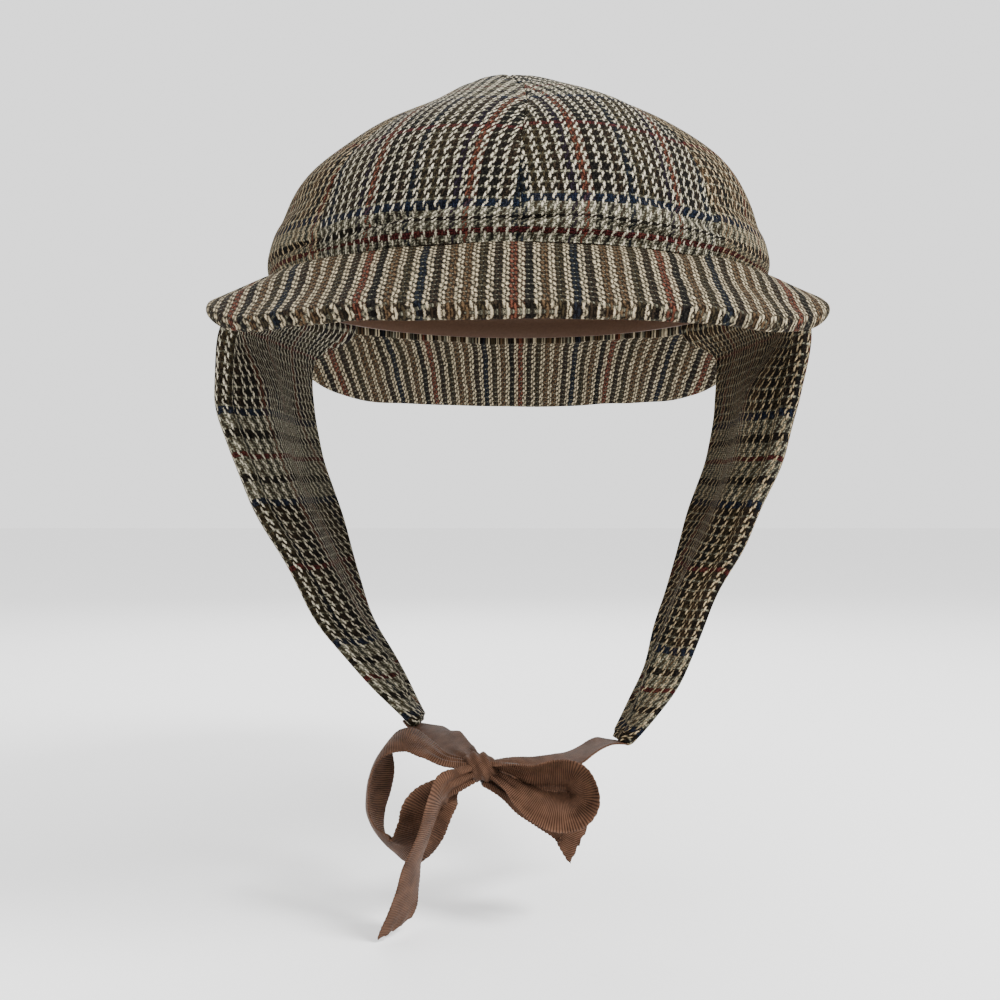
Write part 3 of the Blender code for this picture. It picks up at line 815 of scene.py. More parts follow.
def panel_cloth(skin, row, across, angle):
    """The uv of a panel, and its width, height and area when it is laid flat."""
    side = run_length(skin, 1)
    centre = np.array([np.interp(0.5, shares, far) for shares, far in zip(across, side)])
    up = run_length(skin, 0)[:, across.shape[1] // 2]
    fold = FOLD_AT + 0.022 * np.sin(3.1 * angle + 0.6) + 0.010 * np.sin(11 * angle)
    hidden = FOLD_CLOTH * smooth_step(fold - FOLD_HALF, fold + FOLD_HALF, row)
    uv = np.stack([side - centre[:, None], up[:, None] - RED_LINE + hidden], -1)
    return uv, side[:, -1].max(), up[-1], np.trapz(side[:, -1], up)


print("a fold hides", FOLD_CLOTH, "m of cloth")

# %% All eight gores
FRONT_PANELS = (0, 3, 4, 7)
# Where the pattern starts on each panel, as cut
PANEL_STARTS = [0.0163, 0.010, 0.024, 0.003, 0.018, 0.009, 0.030, -0.0204]


def crown_panel(number):
    row, across, angle, from_seam = panel_grid(number)
    skin, way = panel_skin(row, across, angle, from_seam)
    rounded = edge_rounding(from_seam, SEAM_ROUNDING)
    thick = CLOTH * (SEAM_THICKNESS + (1 - SEAM_THICKNESS) * rounded)
    outer, inner = two_faces(skin, way, CLOTH, thick)
    uv, wide, tall, area = panel_cloth(skin, row, across, angle)
    weave = crown_weave if number in FRONT_PANELS else side_weave
    material = make_tweed(f"crown_tweed_{number + 1}", weave, PANEL_STARTS[number], 0.0)
    panel = closed_sheet(f"crown_{number + 1}", outer, inner, [uv, uv], material)
    return panel, wide, tall, area


for number in range(PANELS):
    panel, wide, tall, area = crown_panel(number)
    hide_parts(f"crown_panel_{number + 1}")
    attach(panel, "root")
    print(panel.name, "flat", round(wide, 3), "by", round(tall, 3), "m")

# %% [markdown]
# ## The peaks
# A peak is a crescent of stiff board with tweed stretched over both sides. It is sewn to the rim,
# slopes down and away, and is thick and round at its outer edge. A bevelled plate would do for a
# flat one, but this one droops more at its sides. So a table gives its reach and its fall from the
# middle to each end, and a second one gives the curve from the rim outwards. The cloth is laid on
# in one flat piece, so its stripes run straight to the front and turn down over the edge.

# %% Sizes of a peak
PEAK_REACH = 0.055
PEAK_FALL = 0.026
PEAK_WALL = 0.005
PEAK_SPAN = radians(78)
RIM_OUT = 0.0048

# In equal steps from the middle of the peak to one end
PeakRow = namedtuple("PeakRow", "reach fall")
PEAK = [
    PeakRow(1.000, 1.00),
    PeakRow(0.990, 1.00),
    PeakRow(0.965, 0.98),
    PeakRow(0.910, 1.00),
    PeakRow(0.800, 0.92),
    PeakRow(0.685, 0.69),
    PeakRow(0.510, 0.46),
    PeakRow(0.310, 0.26),
    PeakRow(0.080, 0.06),
]
# From the rim to the outer edge
PeakStep = namedtuple("PeakStep", "out down")
PEAK_STEPS = [
    PeakStep(0.00, 0.000),
    PeakStep(0.10, 0.012),
    PeakStep(0.30, 0.200),
    PeakStep(0.62, 0.580),
    PeakStep(1.00, 1.000),
]
print("a peak reaches", PEAK_REACH, "m and falls", PEAK_FALL, "m")

# %% The upper face of a peak
# How far outside the head opening it is sewn on in front, and how far outside the rim it starts
# at its sides, where an ear flap passes under it
FRONT_SEAM = 0.0013
FLAP_ROOM = 0.0008
TUCK_START = radians(34)
TUCK_END = radians(44)
UNDER_RIM = 0.0003
PEAK_UNEVEN = 0.0004


def peak_top(across, angle):
    """The upper face of a front peak, and where it starts under the rim."""
    tucked = smooth_step(TUCK_START, TUCK_END, np.abs(angle))
    inner_ring = FRONT_SEAM * (1 - tucked) + (RIM_OUT + FLAP_ROOM) * tucked
    start_x = (HEAD_WIDTH / 2 + inner_ring) * np.sin(angle)
    start_y = -(HEAD_LENGTH / 2 + inner_ring) * np.cos(angle)
    reach = PEAK_REACH * along_table(column(PEAK, "reach"), np.abs(across))
    fall = PEAK_FALL * along_table(column(PEAK, "fall"), np.abs(across))
    out = edge_shares(reach + RIM_OUT - FRONT_SEAM, PEAK_WALL / 2, 8, 34).T
    width = (RIM_OUT - inner_ring + reach) * along_table(column(PEAK_STEPS, "out"), out)
    x = start_x + np.sin(angle) * width
    y = start_y - np.cos(angle) * width
    down = fall * along_table(column(PEAK_STEPS, "down"), out)
    top = np.stack([x, y, -UNDER_RIM - down], axis=-1)
    top = top + np.array([0, 0, PEAK_UNEVEN]) * waves(top, 0.03, 5)[..., None]
    return top, start_x, start_y


print("its sides start", RIM_OUT + FLAP_ROOM, "m outside the head opening")

# %% Both peaks
PEAK_CELLS = 160
PEAK_HALF_LENGTH = 0.12
PEAK_END_ROUNDING = 0.004
# Laid flat, the ends of the crescent lie this much further back than its middle
CRESCENT = 0.06
PEAK_CLOTH_SCALE = 1.16


def make_peak(name, facing, material):
    """A peak with its flat size and area. It is made for the front and turned for the back."""
    even = np.linspace(-1, 1, PEAK_CELLS + 1)
    # Towards both ends the points come closer together
    across = 0.35 * np.sin(pi / 2 * even) + 0.65 * even
    angle = PEAK_SPAN * across
    top, start_x, start_y = peak_top(across, angle)
    far = run_length(top, 0)
    ends = np.minimum(across + 1, 1 - across) * PEAK_HALF_LENGTH
    thick = PEAK_WALL * edge_rounding(far[-1] - far, PEAK_WALL / 2)
    thick = thick * edge_rounding(ends, PEAK_END_ROUNDING)
    upper, lower = two_faces(top, -normals(top), PEAK_WALL, thick)
    along = run_length(upper, 0)
    u = start_x + along * np.sin(angle)
    v = -start_y + along * np.cos(angle)
    uv = np.stack([u, v], axis=-1)
    if facing > 0:
        upper = upper * np.array([-1, -1, 1])
        lower = lower * np.array([-1, -1, 1])
    peak = closed_sheet(name, upper, lower, [uv, uv], material)
    spread = np.linalg.norm(np.diff(top, axis=1), axis=-1)
    area = float((spread[:-1] * np.diff(far, axis=0)[:, :-1]).sum())
    wide = 2 * float(np.abs(top[..., 0]).max())
    return peak, wide, float(far[-1].max()) + CRESCENT, area


peak_tweed = make_tweed("peak_tweed", peak_weave, 0.0010, 0.045, PEAK_CLOTH_SCALE)
for name, node, facing in [("peak_front", "front_peak", -1), ("peak_back", "back_peak", 1)]:
    peak, wide, tall, area = make_peak(name, facing, peak_tweed)
    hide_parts(node)
    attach(peak, "root")
    print(name, "flat", round(wide, 3), "by", round(tall, 3), "area", round(area, 4))

# %% [markdown]
# ## The ear flaps
# An ear flap is two layers of the same tweed with the seam turned inside, so its front edge is
# full and round. It is sewn in under the rim, passes under the corner of the peak, flares out over
# the ear and then narrows down to the ribbon. A flat cut-out could be bent with a lattice, but the
# front edge and the back edge of this flap each go their own way. So each row of a table is a level
# of the flap, and it says where both edges are at that level.

# %% Sizes of the flaps
FLAP_HANG = 0.1414
FLAP_CLOTH = 0.0038
FLAP_TUCK = 0.0056
FLAP_FLARE = 0.0109

FlapRow = namedtuple("FlapRow", "tuck flare hang free front_out front_y back_out back_y bow")
LEFT_FLAP = [
    FlapRow(0.0, 0.0, 0.000, 0.0, 0.830, -0.590, 0.830, 0.590, 0.00),
    FlapRow(1.0, 0.0, 0.000, 0.0, 0.830, -0.590, 0.830, 0.590, 0.00),
    FlapRow(1.0, 1.0, 0.000, 1.0, 1.085, -0.570, 0.985, 0.555, 0.05),
    FlapRow(1.0, 1.0, 0.157, 1.0, 1.150, -0.475, 0.985, 0.520, 0.03),
    FlapRow(1.0, 1.0, 0.283, 1.0, 1.120, -0.427, 0.945, 0.470, 0.03),
    FlapRow(1.0, 1.0, 0.394, 1.0, 1.060, -0.385, 0.880, 0.400, 0.04),
    FlapRow(1.0, 1.0, 0.506, 1.0, 0.985, -0.355, 0.805, 0.330, 0.04),
    FlapRow(1.0, 1.0, 0.637, 1.0, 0.872, -0.325, 0.725, 0.235, 0.04),
    FlapRow(1.0, 1.0, 0.748, 1.0, 0.773, -0.310, 0.650, 0.135, 0.03),
    FlapRow(1.0, 1.0, 0.850, 1.0, 0.640, -0.300, 0.555, 0.035, 0.02),
    FlapRow(1.0, 1.0, 0.927, 1.0, 0.535, -0.295, 0.475, -0.045, 0.01),
    FlapRow(1.0, 1.0, 0.985, 1.0, 0.445, -0.285, 0.420, -0.100, 0.00),
    FlapRow(1.0, 1.0, 1.000, 1.0, 0.415, -0.265, 0.400, -0.130, 0.00),
]
RIGHT_FLAP = [
    FlapRow(0.0, 0.0, 0.000, 0.0, 0.830, -0.590, 0.830, 0.590, 0.00),
    FlapRow(1.0, 0.0, 0.000, 0.0, 0.830, -0.590, 0.830, 0.590, 0.00),
    FlapRow(1.0, 1.0, 0.000, 1.0, 1.060, -0.570, 0.965, 0.555, 0.05),
    FlapRow(1.0, 1.0, 0.157, 1.0, 1.075, -0.475, 0.955, 0.520, 0.03),
    FlapRow(1.0, 1.0, 0.283, 1.0, 1.040, -0.427, 0.915, 0.470, 0.03),
    FlapRow(1.0, 1.0, 0.394, 1.0, 0.985, -0.385, 0.850, 0.400, 0.04),
    FlapRow(1.0, 1.0, 0.506, 1.0, 0.910, -0.355, 0.775, 0.330, 0.04),
    FlapRow(1.0, 1.0, 0.645, 1.0, 0.810, -0.325, 0.695, 0.235, 0.03),
    FlapRow(1.0, 1.0, 0.768, 1.0, 0.725, -0.310, 0.625, 0.135, 0.03),
    FlapRow(1.0, 1.0, 0.880, 1.0, 0.650, -0.300, 0.555, 0.035, 0.02),
    FlapRow(1.0, 1.0, 0.963, 1.0, 0.565, -0.295, 0.490, -0.045, 0.01),
    FlapRow(1.0, 1.0, 1.027, 1.0, 0.480, -0.285, 0.430, -0.100, 0.00),
    FlapRow(1.0, 1.0, 1.043, 1.0, 0.420, -0.265, 0.400, -0.130, 0.00),
]
print("the flaps end", FLAP_TUCK + FLAP_FLARE + FLAP_HANG, "m below the rim or a little lower")


# %% The form of a flap
def flap_sections(rows, side, behind):
    """The points of the table's sections, at shares from the front edge to the back edge."""
    sections = []
    for row in rows:
        ahead = RIM_HALF_LENGTH * (row.front_y + (row.back_y - row.front_y) * behind)
        on_rim = RIM_HALF_WIDTH * np.sqrt(1 - (ahead / RIM_HALF_LENGTH) ** 2)
        bow = 4 * behind * (1 - behind) * row.bow
        hanging = RIM_HALF_WIDTH * (row.front_out + (row.back_out - row.front_out) * behind + bow)
        x = side * (on_rim * (1 - row.free) + hanging * row.free)
        z = -(UNDER_RIM + FLAP_TUCK * row.tuck + FLAP_FLARE * row.flare + FLAP_HANG * row.hang)
        sections.append(np.stack([x, ahead, np.full_like(x, z)], axis=-1))
    return np.array(sections)


# Behind its front edge a hanging flap is pressed in, so that the edge turns to the front
TURN_IN = 0.0095
TURN_AT = 0.22
# About how wide and long a flap is, for the spacing of its points
FLAP_WIDE = 0.08
FLAP_LONG = 0.165
ROLL_WIDE = 0.0036
END_BORDER = 0.0022
FLAP_UNEVEN = 0.0007


def flap_skin(side, rows):
    """The outer face of a flap, from its front edge to its back edge on the left one."""
    behind = edge_shares(FLAP_WIDE, ROLL_WIDE, 12, 64)[0]
    if side > 0:
        behind = behind[::-1]
    down = edge_shares(FLAP_LONG, END_BORDER, 7, 170)[0]
    skin = along_table(flap_sections(rows, side, behind), down)
    turned_in = smooth_step(0.0, TURN_AT, behind) * smooth_step(0.85, TURN_AT, behind)
    hanging = smooth_step(0.16, 0.26, down) * smooth_step(0.95, 0.70, down)
    skin[..., 0] -= side * TURN_IN * turned_in[None, :] * hanging[:, None]
    return skin + normals(skin) * (waves(skin, 0.030, 11 + side) * FLAP_UNEVEN)[..., None]


print("a flap's front edge stands out by", TURN_IN, "m")

# %% Rolled edge, stitches and hem
# Each is a ridge or a groove along an edge: how high, how far in and how wide
Ridge = namedtuple("Ridge", "high at wide")
ROLL = Ridge(0.0028, ROLL_WIDE, 0.0026)
STITCHES = Ridge(-0.0016, 0.0088, 0.0011)
HEM = Ridge(0.0008, 0.0028, 0.0020)
ROLL_LOSS = 0.6
FLAP_EDGE = 0.0025


def ridge_height(ridge, distance):
    return ridge.high * np.exp(-(((distance - ridge.at) / ridge.wide) ** 2))


def flap_thickness(across, along, front):
    """Double cloth with a full, rolled front edge that grows slimmer towards the ribbon."""
    end = along[-1:] - along
    back = across[:, -1:] - front
    full = 1 - ROLL_LOSS * smooth_step(0.25, 0.9, along / along[-1:])
    thick = FLAP_CLOTH + full * ridge_height(ROLL, front) + ridge_height(STITCHES, front)
    thick = thick + ridge_height(HEM, np.minimum(back, end))
    rounded = edge_rounding(front, ROLL_WIDE) * edge_rounding(back, FLAP_EDGE)
    return thick * rounded * edge_rounding(end, FLAP_EDGE)


print("a flap is", FLAP_CLOTH, "m thick, and", FLAP_CLOTH + ROLL.high, "m at its roll")


# %% Both flaps
def make_flap(name, side, rows, material):
    skin = flap_skin(side, rows)
    across = run_length(skin, 1)
    along = run_length(skin, 0)
    front = across if side < 0 else across[:, -1:] - across
    thick = flap_thickness(across, along, front)
    outer, inner = two_faces(skin, normals(skin), FLAP_CLOTH, thick)
    length = along.mean(axis=1)
    down_cloth = np.repeat(length[:, None], across.shape[1], 1)
    faces = []
    for face, turned in ((outer, 1), (inner, -1)):
        far = run_length(face, 1)
        far = far if side < 0 else far[:, -1:] - far
        faces.append(np.stack([turned * far, -down_cloth], axis=-1))
    flap = closed_sheet(name, outer, inner, faces, material)
    area = float(np.trapz(across[:, -1], length))
    return flap, float(across[:, -1].max()), float(length[-1]), area


# The right flap takes the side weave: its browner, darker cream is painted shade, as the flap's inner
# face turns away from the light
left_flap_tweed = make_tweed("flap_tweed_left", crown_weave, 0.0220, 0.071)
shaded_right_flap_tweed = make_tweed("flap_tweed_right_painted_shade", side_weave, 0.0290, 0.071)
for name, node, side, rows, flap_tweed in [
    ("flap_left", "ear_flap_left", -1, LEFT_FLAP, left_flap_tweed),
    ("flap_right", "ear_flap_right", 1, RIGHT_FLAP, shaded_right_flap_tweed),
]:
    flap, wide, tall, area = make_flap(name, side, rows, flap_tweed)
    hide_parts(node)
    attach(flap, "root")
    print(name, "flat", round(wide, 3), "by", round(tall, 3), "area", round(area, 4))

# %% [markdown]
# ## The sweatband
# Inside the rim runs a plain brown band, which the head touches. A scaled copy of the rim would
# do for a straight one, but the crown leans in as it rises, and the band must stay inside it. So
# it is an oval strip that is measured against the crown at each height.

# %% Sweatband
BAND_HEIGHT = 0.028
BAND_BELOW_RIM = 0.003
BAND = 0.001
# What the creases may take from the hollow, and the gap that always stays
CREASE_ROOM = 0.0024
BAND_GAP = 0.0003


def crown_inside(height):
    """How far out from the opening the crown's inner face is at a height, where it is nearest."""
    row = np.linspace(0, 1, 200)
    high = CROWN_HEIGHT * along_table(column(CROWN, "high"), row)
    out = along_table(column(CROWN, "out"), row)
    aside = RIM_HALF_WIDTH * np.abs(along_table(column(CROWN, "aside"), row))
    at_side = RIM_HALF_WIDTH * out - aside - HEAD_WIDTH / 2
    at_front = RIM_HALF_LENGTH * out - HEAD_LENGTH / 2
    return np.interp(height, high, np.minimum(at_side, at_front)) - CLOTH - CREASE_ROOM


def make_sweatband():
    angle = np.linspace(0, 2 * pi, 241)[None, :]
    up = edge_shares(BAND_HEIGHT, BAND / 2, 3, 10)[0][:, None]
    height = BAND_HEIGHT * up - BAND_BELOW_RIM
    outside = np.minimum(BAND, crown_inside(height) - BAND_GAP)
    x = (HEAD_WIDTH / 2 + outside) * np.sin(angle)
    y = -(HEAD_LENGTH / 2 + outside) * np.cos(angle)
    outer = np.stack([x, y, height + 0 * angle], axis=-1)
    way = normals(outer)
    if np.sum(way * outer) < 0:
        way = -way
    inner = outer - way * BAND
    uv = np.stack([run_length(outer, 1), run_length(outer, 0)], axis=-1)
    return closed_sheet("band", outer, inner, [uv, uv], leather), float(uv[0, -1, 0])


band, band_length = make_sweatband()
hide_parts("sweatband")
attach(band, "root")
print("band", round(band_length, 3), "m round")

# %% [markdown]
# ## Ribbon and bow
# A grosgrain ribbon is sewn to the end of each flap, and the two are tied in a bow. A curve with a
# flat profile would be the quick way in Blender, but it twists by itself at tight bends and can't
# pleat. So a ribbon here follows a route of points in a table. At each point a lean turns its
# width about the route, a share says how wide it is open, and a curl bends its edges. Near the
# knot it is gathered narrow, and its spare width goes into pleats.

# %% Sizes of the ribbon and routes of the bow
RIBBON_WIDTH = 0.016
RIBBON = 0.0007
KNOT_WIDTH = 0.011
KNOT_DEPTH = 0.010
KNOT_HEIGHT = 0.0095
BOW_REACH = 0.0295
KNOT = np.array([-0.0126, -0.060, -0.1648])

RibbonRow = namedtuple("RibbonRow", "across ahead up lean wide curl")
LEFT_LOOP = [
    RibbonRow(0.08, 0.06, -0.08, 10, 0.36, 0.00),
    RibbonRow(-0.10, 0.22, -0.16, 45, 0.50, -0.05),
    RibbonRow(-0.25, 0.36, -0.26, 78, 0.78, -0.14),
    RibbonRow(-0.39, 0.44, -0.42, 84, 1.00, -0.16),
    RibbonRow(-0.48, 0.44, -0.64, 74, 1.00, -0.14),
    RibbonRow(-0.62, 0.34, -0.86, 54, 1.00, -0.06),
    RibbonRow(-0.82, 0.16, -0.86, 30, 1.00, 0.06),
    RibbonRow(-0.98, 0.03, -0.72, 8, 1.00, 0.12),
    RibbonRow(-1.06, -0.03, -0.50, -12, 1.00, 0.20),
    RibbonRow(-1.05, -0.05, -0.29, -22, 1.00, 0.24),
    RibbonRow(-1.01, -0.05, -0.08, -22, 1.00, 0.22),
    RibbonRow(-0.94, -0.05, 0.13, -10, 1.00, 0.14),
    RibbonRow(-0.82, -0.05, 0.28, 8, 1.00, 0.08),
    RibbonRow(-0.62, -0.05, 0.32, 18, 1.00, 0.04),
    RibbonRow(-0.41, 0.00, 0.22, 16, 0.90, 0.04),
    RibbonRow(-0.20, 0.08, 0.10, 8, 0.62, 0.02),
    RibbonRow(0.08, 0.06, 0.04, 6, 0.36, 0.00),
]
RIGHT_LOOP = [
    RibbonRow(-0.08, 0.03, 0.04, -10, 0.36, 0.00),
    RibbonRow(0.18, 0.08, 0.00, -28, 0.65, 0.02),
    RibbonRow(0.42, 0.10, -0.07, -42, 0.95, 0.05),
    RibbonRow(0.66, 0.10, -0.05, -48, 1.00, 0.08),
    RibbonRow(0.86, 0.14, -0.07, -47, 1.00, 0.08),
    RibbonRow(0.97, 0.20, -0.19, -42, 1.00, 0.08),
    RibbonRow(0.99, 0.28, -0.34, -38, 1.00, 0.08),
    RibbonRow(0.88, 0.34, -0.46, -38, 1.00, 0.08),
    RibbonRow(0.68, 0.36, -0.49, -36, 1.00, 0.08),
    RibbonRow(0.48, 0.32, -0.43, -36, 0.95, 0.08),
    RibbonRow(0.30, 0.24, -0.31, -34, 0.80, 0.05),
    RibbonRow(0.13, 0.14, -0.18, -22, 0.55, 0.02),
    RibbonRow(-0.08, 0.03, -0.06, -10, 0.36, 0.00),
]
LEFT_TAIL = [
    RibbonRow(-0.08, 0.00, -0.04, 88, 0.36, 0.00),
    RibbonRow(-0.24, 0.22, -0.09, 70, 0.50, 0.02),
    RibbonRow(-0.35, 0.46, -0.14, 42, 0.75, 0.05),
    RibbonRow(-0.42, 0.66, -0.26, 18, 1.00, 0.08),
    RibbonRow(-0.49, 0.72, -0.47, 14, 1.00, 0.10),
    RibbonRow(-0.58, 0.72, -0.72, 14, 1.00, 0.10),
    RibbonRow(-0.68, 0.62, -0.98, 16, 1.00, 0.10),
    RibbonRow(-0.74, 0.54, -1.23, 24, 1.00, 0.08),
    RibbonRow(-0.82, 0.48, -1.49, 30, 0.95, 0.05),
    RibbonRow(-0.91, 0.42, -1.68, 30, 0.80, 0.02),
]
RIGHT_TAIL = [
    RibbonRow(0.02, 0.00, 0.00, 0, 0.36, 0.00),
    RibbonRow(0.24, -0.10, -0.08, 30, 0.50, 0.00),
    RibbonRow(0.50, -0.20, -0.18, 62, 0.80, 0.04),
    RibbonRow(0.78, -0.22, -0.30, 78, 1.00, 0.06),
    RibbonRow(1.02, -0.20, -0.46, 80, 1.00, 0.06),
    RibbonRow(1.13, -0.16, -0.70, 78, 0.70, 0.04),
]
StrapRow = namedtuple("StrapRow", "along sag lean wide curl")
LEFT_STRAP = [
    StrapRow(0.00, 0.00, 0, 1.00, 0.00),
    StrapRow(0.15, 0.00, 12, 1.00, 0.02),
    StrapRow(0.35, 0.04, 32, 1.00, 0.02),
    StrapRow(0.65, 0.10, 32, 0.80, 0.02),
    StrapRow(0.85, 0.06, 16, 0.50, 0.00),
    StrapRow(1.00, 0.00, 0, 0.36, 0.00),
]
RIGHT_STRAP = [
    StrapRow(0.00, 0.00, 0, 1.00, 0.00),
    StrapRow(0.12, 0.02, 0, 1.00, 0.02),
    StrapRow(0.35, 0.20, -8, 1.00, 0.02),
    StrapRow(0.60, 0.30, -25, 0.90, 0.02),
    StrapRow(0.85, 0.14, -25, 0.60, 0.00),
    StrapRow(1.00, 0.00, -20, 0.36, 0.00),
]
print("the left loop's route has", len(LEFT_LOOP), "points, the right one's", len(RIGHT_LOOP))


# %% The course of a ribbon
def ribbon_course(points, rows, share):
    """A ribbon's middle line, the way it runs, the way of its width, and its length so far.

    The width starts out front to back and is then turned by the lean.
    """
    centre = along_table(points, share)
    forward = unit(np.gradient(centre, axis=0))
    backward = np.array([0.0, 1.0, 0.0])
    flat = unit(backward - forward * (forward @ backward)[:, None])
    side = np.cross(forward, flat)
    turn = np.radians(along_table(column(rows, "lean"), share))[:, None]
    width_way = flat * np.cos(turn) + side * np.sin(turn)
    return centre, forward, width_way, run_length(centre[:, None, :], 0)[:, 0]


print("a ribbon is", RIBBON_WIDTH, "m wide and", RIBBON, "m thick")

# %% The small forms of a ribbon
PLEAT = 0.0011
PLEATS = 2.5
RIPPLE = 0.00025
RIPPLE_RUN = 0.0034
# The woven edge is finely scalloped
SCALLOP = 0.00028
SCALLOP_RUN = 0.0015
SELVEDGE = 0.46
# How near its end a ribbon is cut aslant and frayed
CUT_REACH = 0.014
FRAY_REACH = 0.003
# A soft ridge along the ribbon, how far one edge outruns the other at the cut, and the fraying
Look = namedtuple("Look", "ridge cut fray")
PLAIN = Look(0.0, 0.0, 0.0)


def ribbon_spread(across, length, open_share):
    """How far to the side of the middle line each point lies."""
    scallop = SCALLOP * np.abs(np.sin(pi * length / SCALLOP_RUN))[:, None]
    at_edge = np.sign(across - 0.5) * (np.abs(across - 0.5) > SELVEDGE)
    return (across - 0.5) * RIBBON_WIDTH * open_share + at_edge * scallop


def ribbon_relief(across, length, open_share, curl, ridge):
    """How far each point stands out from the flat ribbon."""
    from_middle = 2 * across - 1
    pleat = PLEAT * (1 - open_share) * np.cos(2 * pi * PLEATS * across)
    ripple = RIPPLE * np.sin(length / RIPPLE_RUN)[:, None] * from_middle**3
    raised = ripple + ridge_height(Ridge(ridge, 0.72, 0.15), across)
    return pleat + RIBBON_WIDTH * curl * from_middle**2 + raised * open_share


def ribbon_end(across, length, look):
    """How much further along each point is, by the slant of the cut and by the fraying."""
    near_end = smooth_step(length[-1] - CUT_REACH, length[-1], length)[:, None]
    at_end = smooth_step(length[-1] - FRAY_REACH, length[-1], length)[:, None]
    ragged = look.fray * np.random.default_rng(5).uniform(-1, 1, len(across))
    return look.cut * (2 * across - 1) * near_end + ragged * at_end


print("its edge has a scallop every", SCALLOP_RUN, "m")


# %% A ribbon along a route
def make_ribbon(name, points, rows, cells, look):
    """A ribbon with its length and its area where it lies."""
    share = np.linspace(0, 1, cells + 1)
    centre, forward, width_way, length = ribbon_course(points, rows, share)
    open_share = along_table(column(rows, "wide"), share)[:, None]
    curl = along_table(column(rows, "curl"), share)[:, None]
    across = edge_shares(RIBBON_WIDTH, RIBBON, 3, 14)[0]
    spread = ribbon_spread(across, length, open_share)
    skin = centre[:, None, :] + width_way[:, None, :] * spread[..., None]
    relief = ribbon_relief(across, length, open_share, curl, look.ridge)
    longer = ribbon_end(across, length, look)
    skin = skin + normals(skin) * relief[..., None] + forward[:, None, :] * longer[..., None]
    rounded = edge_rounding(np.minimum(across, 1 - across) * RIBBON_WIDTH, RIBBON)
    outer, inner = two_faces(skin, normals(skin), 0, RIBBON * rounded)
    across_cloth = np.repeat(((across - 0.5) * RIBBON_WIDTH)[None, :], cells + 1, 0)
    uv = np.stack([across_cloth, length[:, None] + longer], axis=-1)
    ribbon = closed_sheet(name, outer, inner, [uv, uv], grosgrain)
    area = float(np.trapz(RIBBON_WIDTH * open_share[:, 0], length))
    return ribbon, float(length[-1]), area


def finish_ribbon(ribbon, node, length):
    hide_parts(node)
    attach(ribbon, "root")
    print(ribbon.name, "length", round(length, 3), "m")


def bow_route(root, rows):
    offset = np.stack(
        [
            BOW_REACH * column(rows, "across"),
            -RIBBON_WIDTH * column(rows, "ahead"),
            BOW_REACH * column(rows, "up"),
        ],
        axis=-1,
    )
    return root + offset


# %% The bow
beside = np.array([KNOT_WIDTH / 2, 0, 0])
before_knot = np.array([0, KNOT_DEPTH / 2, 0])
below = np.array([0, 0, KNOT_HEIGHT / 2])
for name, node, root, rows, cells, look in [
    ("loop_left", "bow_loop_left", KNOT - beside, LEFT_LOOP, 420, PLAIN),
    ("loop_right", "bow_loop_right", KNOT + beside, RIGHT_LOOP, 400, Look(0.0012, 0.0, 0.0)),
    ("tail_left", "ribbon_tail_left", KNOT - before_knot, LEFT_TAIL, 260, Look(0, -0.0030, 0.0006)),
    ("tail_right", "ribbon_tail_right", KNOT - below, RIGHT_TAIL, 180, Look(0, -0.0050, 0.0005)),
]:
    ribbon, length, area = make_ribbon(name, bow_route(root, rows), rows, cells, look)
    finish_ribbon(ribbon, node, length)


# %% The ribbon from each flap to the knot
def strap_route(start, end, rows):
    points = []
    for row in rows:
        point = start + (end - start) * row.along
        points.append(point - np.array([0, 0, RIBBON_WIDTH * row.sag]))
    return np.array(points)


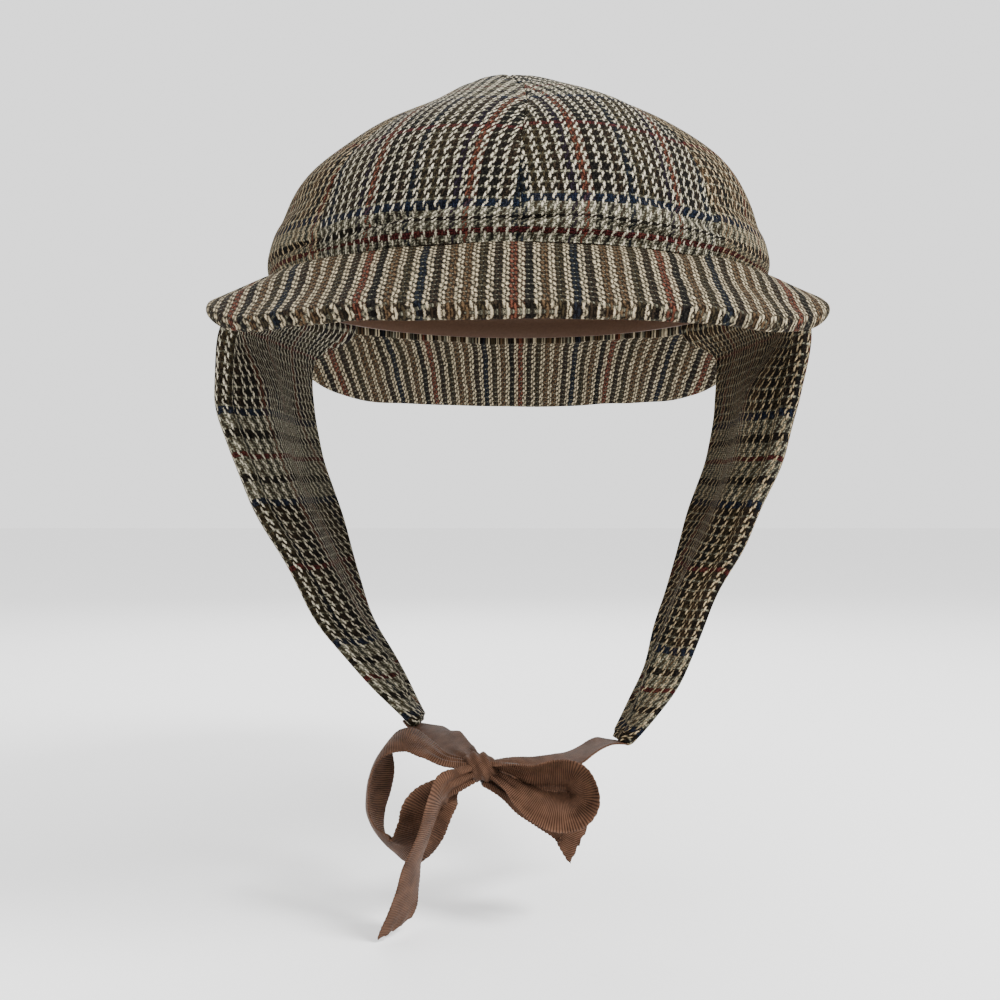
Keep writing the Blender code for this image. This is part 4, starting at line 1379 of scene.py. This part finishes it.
over_knot = KNOT + [-KNOT_WIDTH / 8, 0, KNOT_HEIGHT / 5]
behind_knot = KNOT + [KNOT_WIDTH / 8, KNOT_DEPTH / 5, 0]
for name, node, flap_name, side, flap_rows, rows, end in [
    ("strap_left", "chin_ribbon_left", "flap_left", -1, LEFT_FLAP, LEFT_STRAP, over_knot),
    ("strap_right", "chin_ribbon_right", "flap_right", 1, RIGHT_FLAP, RIGHT_STRAP, behind_knot),
]:
    flap_end = flap_sections(flap_rows, side, np.array([0.5]))[-1, 0]
    start = flap_end + [-side * FLAP_CLOTH / 2, 0, 0.001]
    ribbon, length, area = make_ribbon(name, strap_route(start, end, rows), rows, 120, PLAIN)
    finish_ribbon(ribbon, node, length)

# %% [markdown]
# ## The knot
# In a real knot the ribbon wraps round itself and vanishes inside. Tying it with a simulation is
# hard to steer, and only a small barrel of wrapped ribbon shows in the end. So the knot is that
# barrel: a closed shell, a little slanted, with folds along the wrap. The loops, tails and straps
# all run into it.

# %% The knot
# The folds: how deep as a share, how many over its width, and how much they sway round it
FOLD_DEPTH = 0.10
FOLDS = 1.6
FOLD_SWAY = 0.45
KNOT_SLANT = 0.16
# The ribs lie a little across the wrap, whose radius turns an angle into a length
WRAP_RADIUS = 0.0040
RIB_SLANT = 0.8
SHELL = 0.8


def make_knot():
    """The ribbon wrapped round the middle of the bow, with folds along the wrap."""
    turn = np.linspace(0, 2 * pi, 97)[None, :]
    along = np.sin(np.linspace(-pi / 2, pi / 2, 61))[:, None]
    barrel = np.maximum(1 - np.abs(along) ** 2.6, 0) ** 0.42
    folds = np.cos(2 * pi * (FOLDS * along + FOLD_SWAY * np.sin(turn + 0.6)))
    around = barrel * (1 + FOLD_DEPTH * folds * barrel)
    y = KNOT_DEPTH / 2 * around * np.cos(turn)
    z = KNOT_HEIGHT / 2 * around * np.sin(turn)
    slanted = KNOT_SLANT * barrel * np.sin(turn)
    x = KNOT_WIDTH / 2 * (along * (1 + 0.05 * np.sin(2 * turn)) - slanted)
    skin = KNOT + np.stack([x, y, z], axis=-1)
    uv = np.stack([x, turn * WRAP_RADIUS + x * RIB_SLANT], axis=-1)
    inner = skin.copy()
    inner[1:-1] = KNOT + (skin[1:-1] - KNOT) * SHELL
    return closed_sheet("knot", skin, inner, [uv, uv], grosgrain)


knot = make_knot()
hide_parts("bow_knot")
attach(knot, "root")
print("knot at", KNOT)
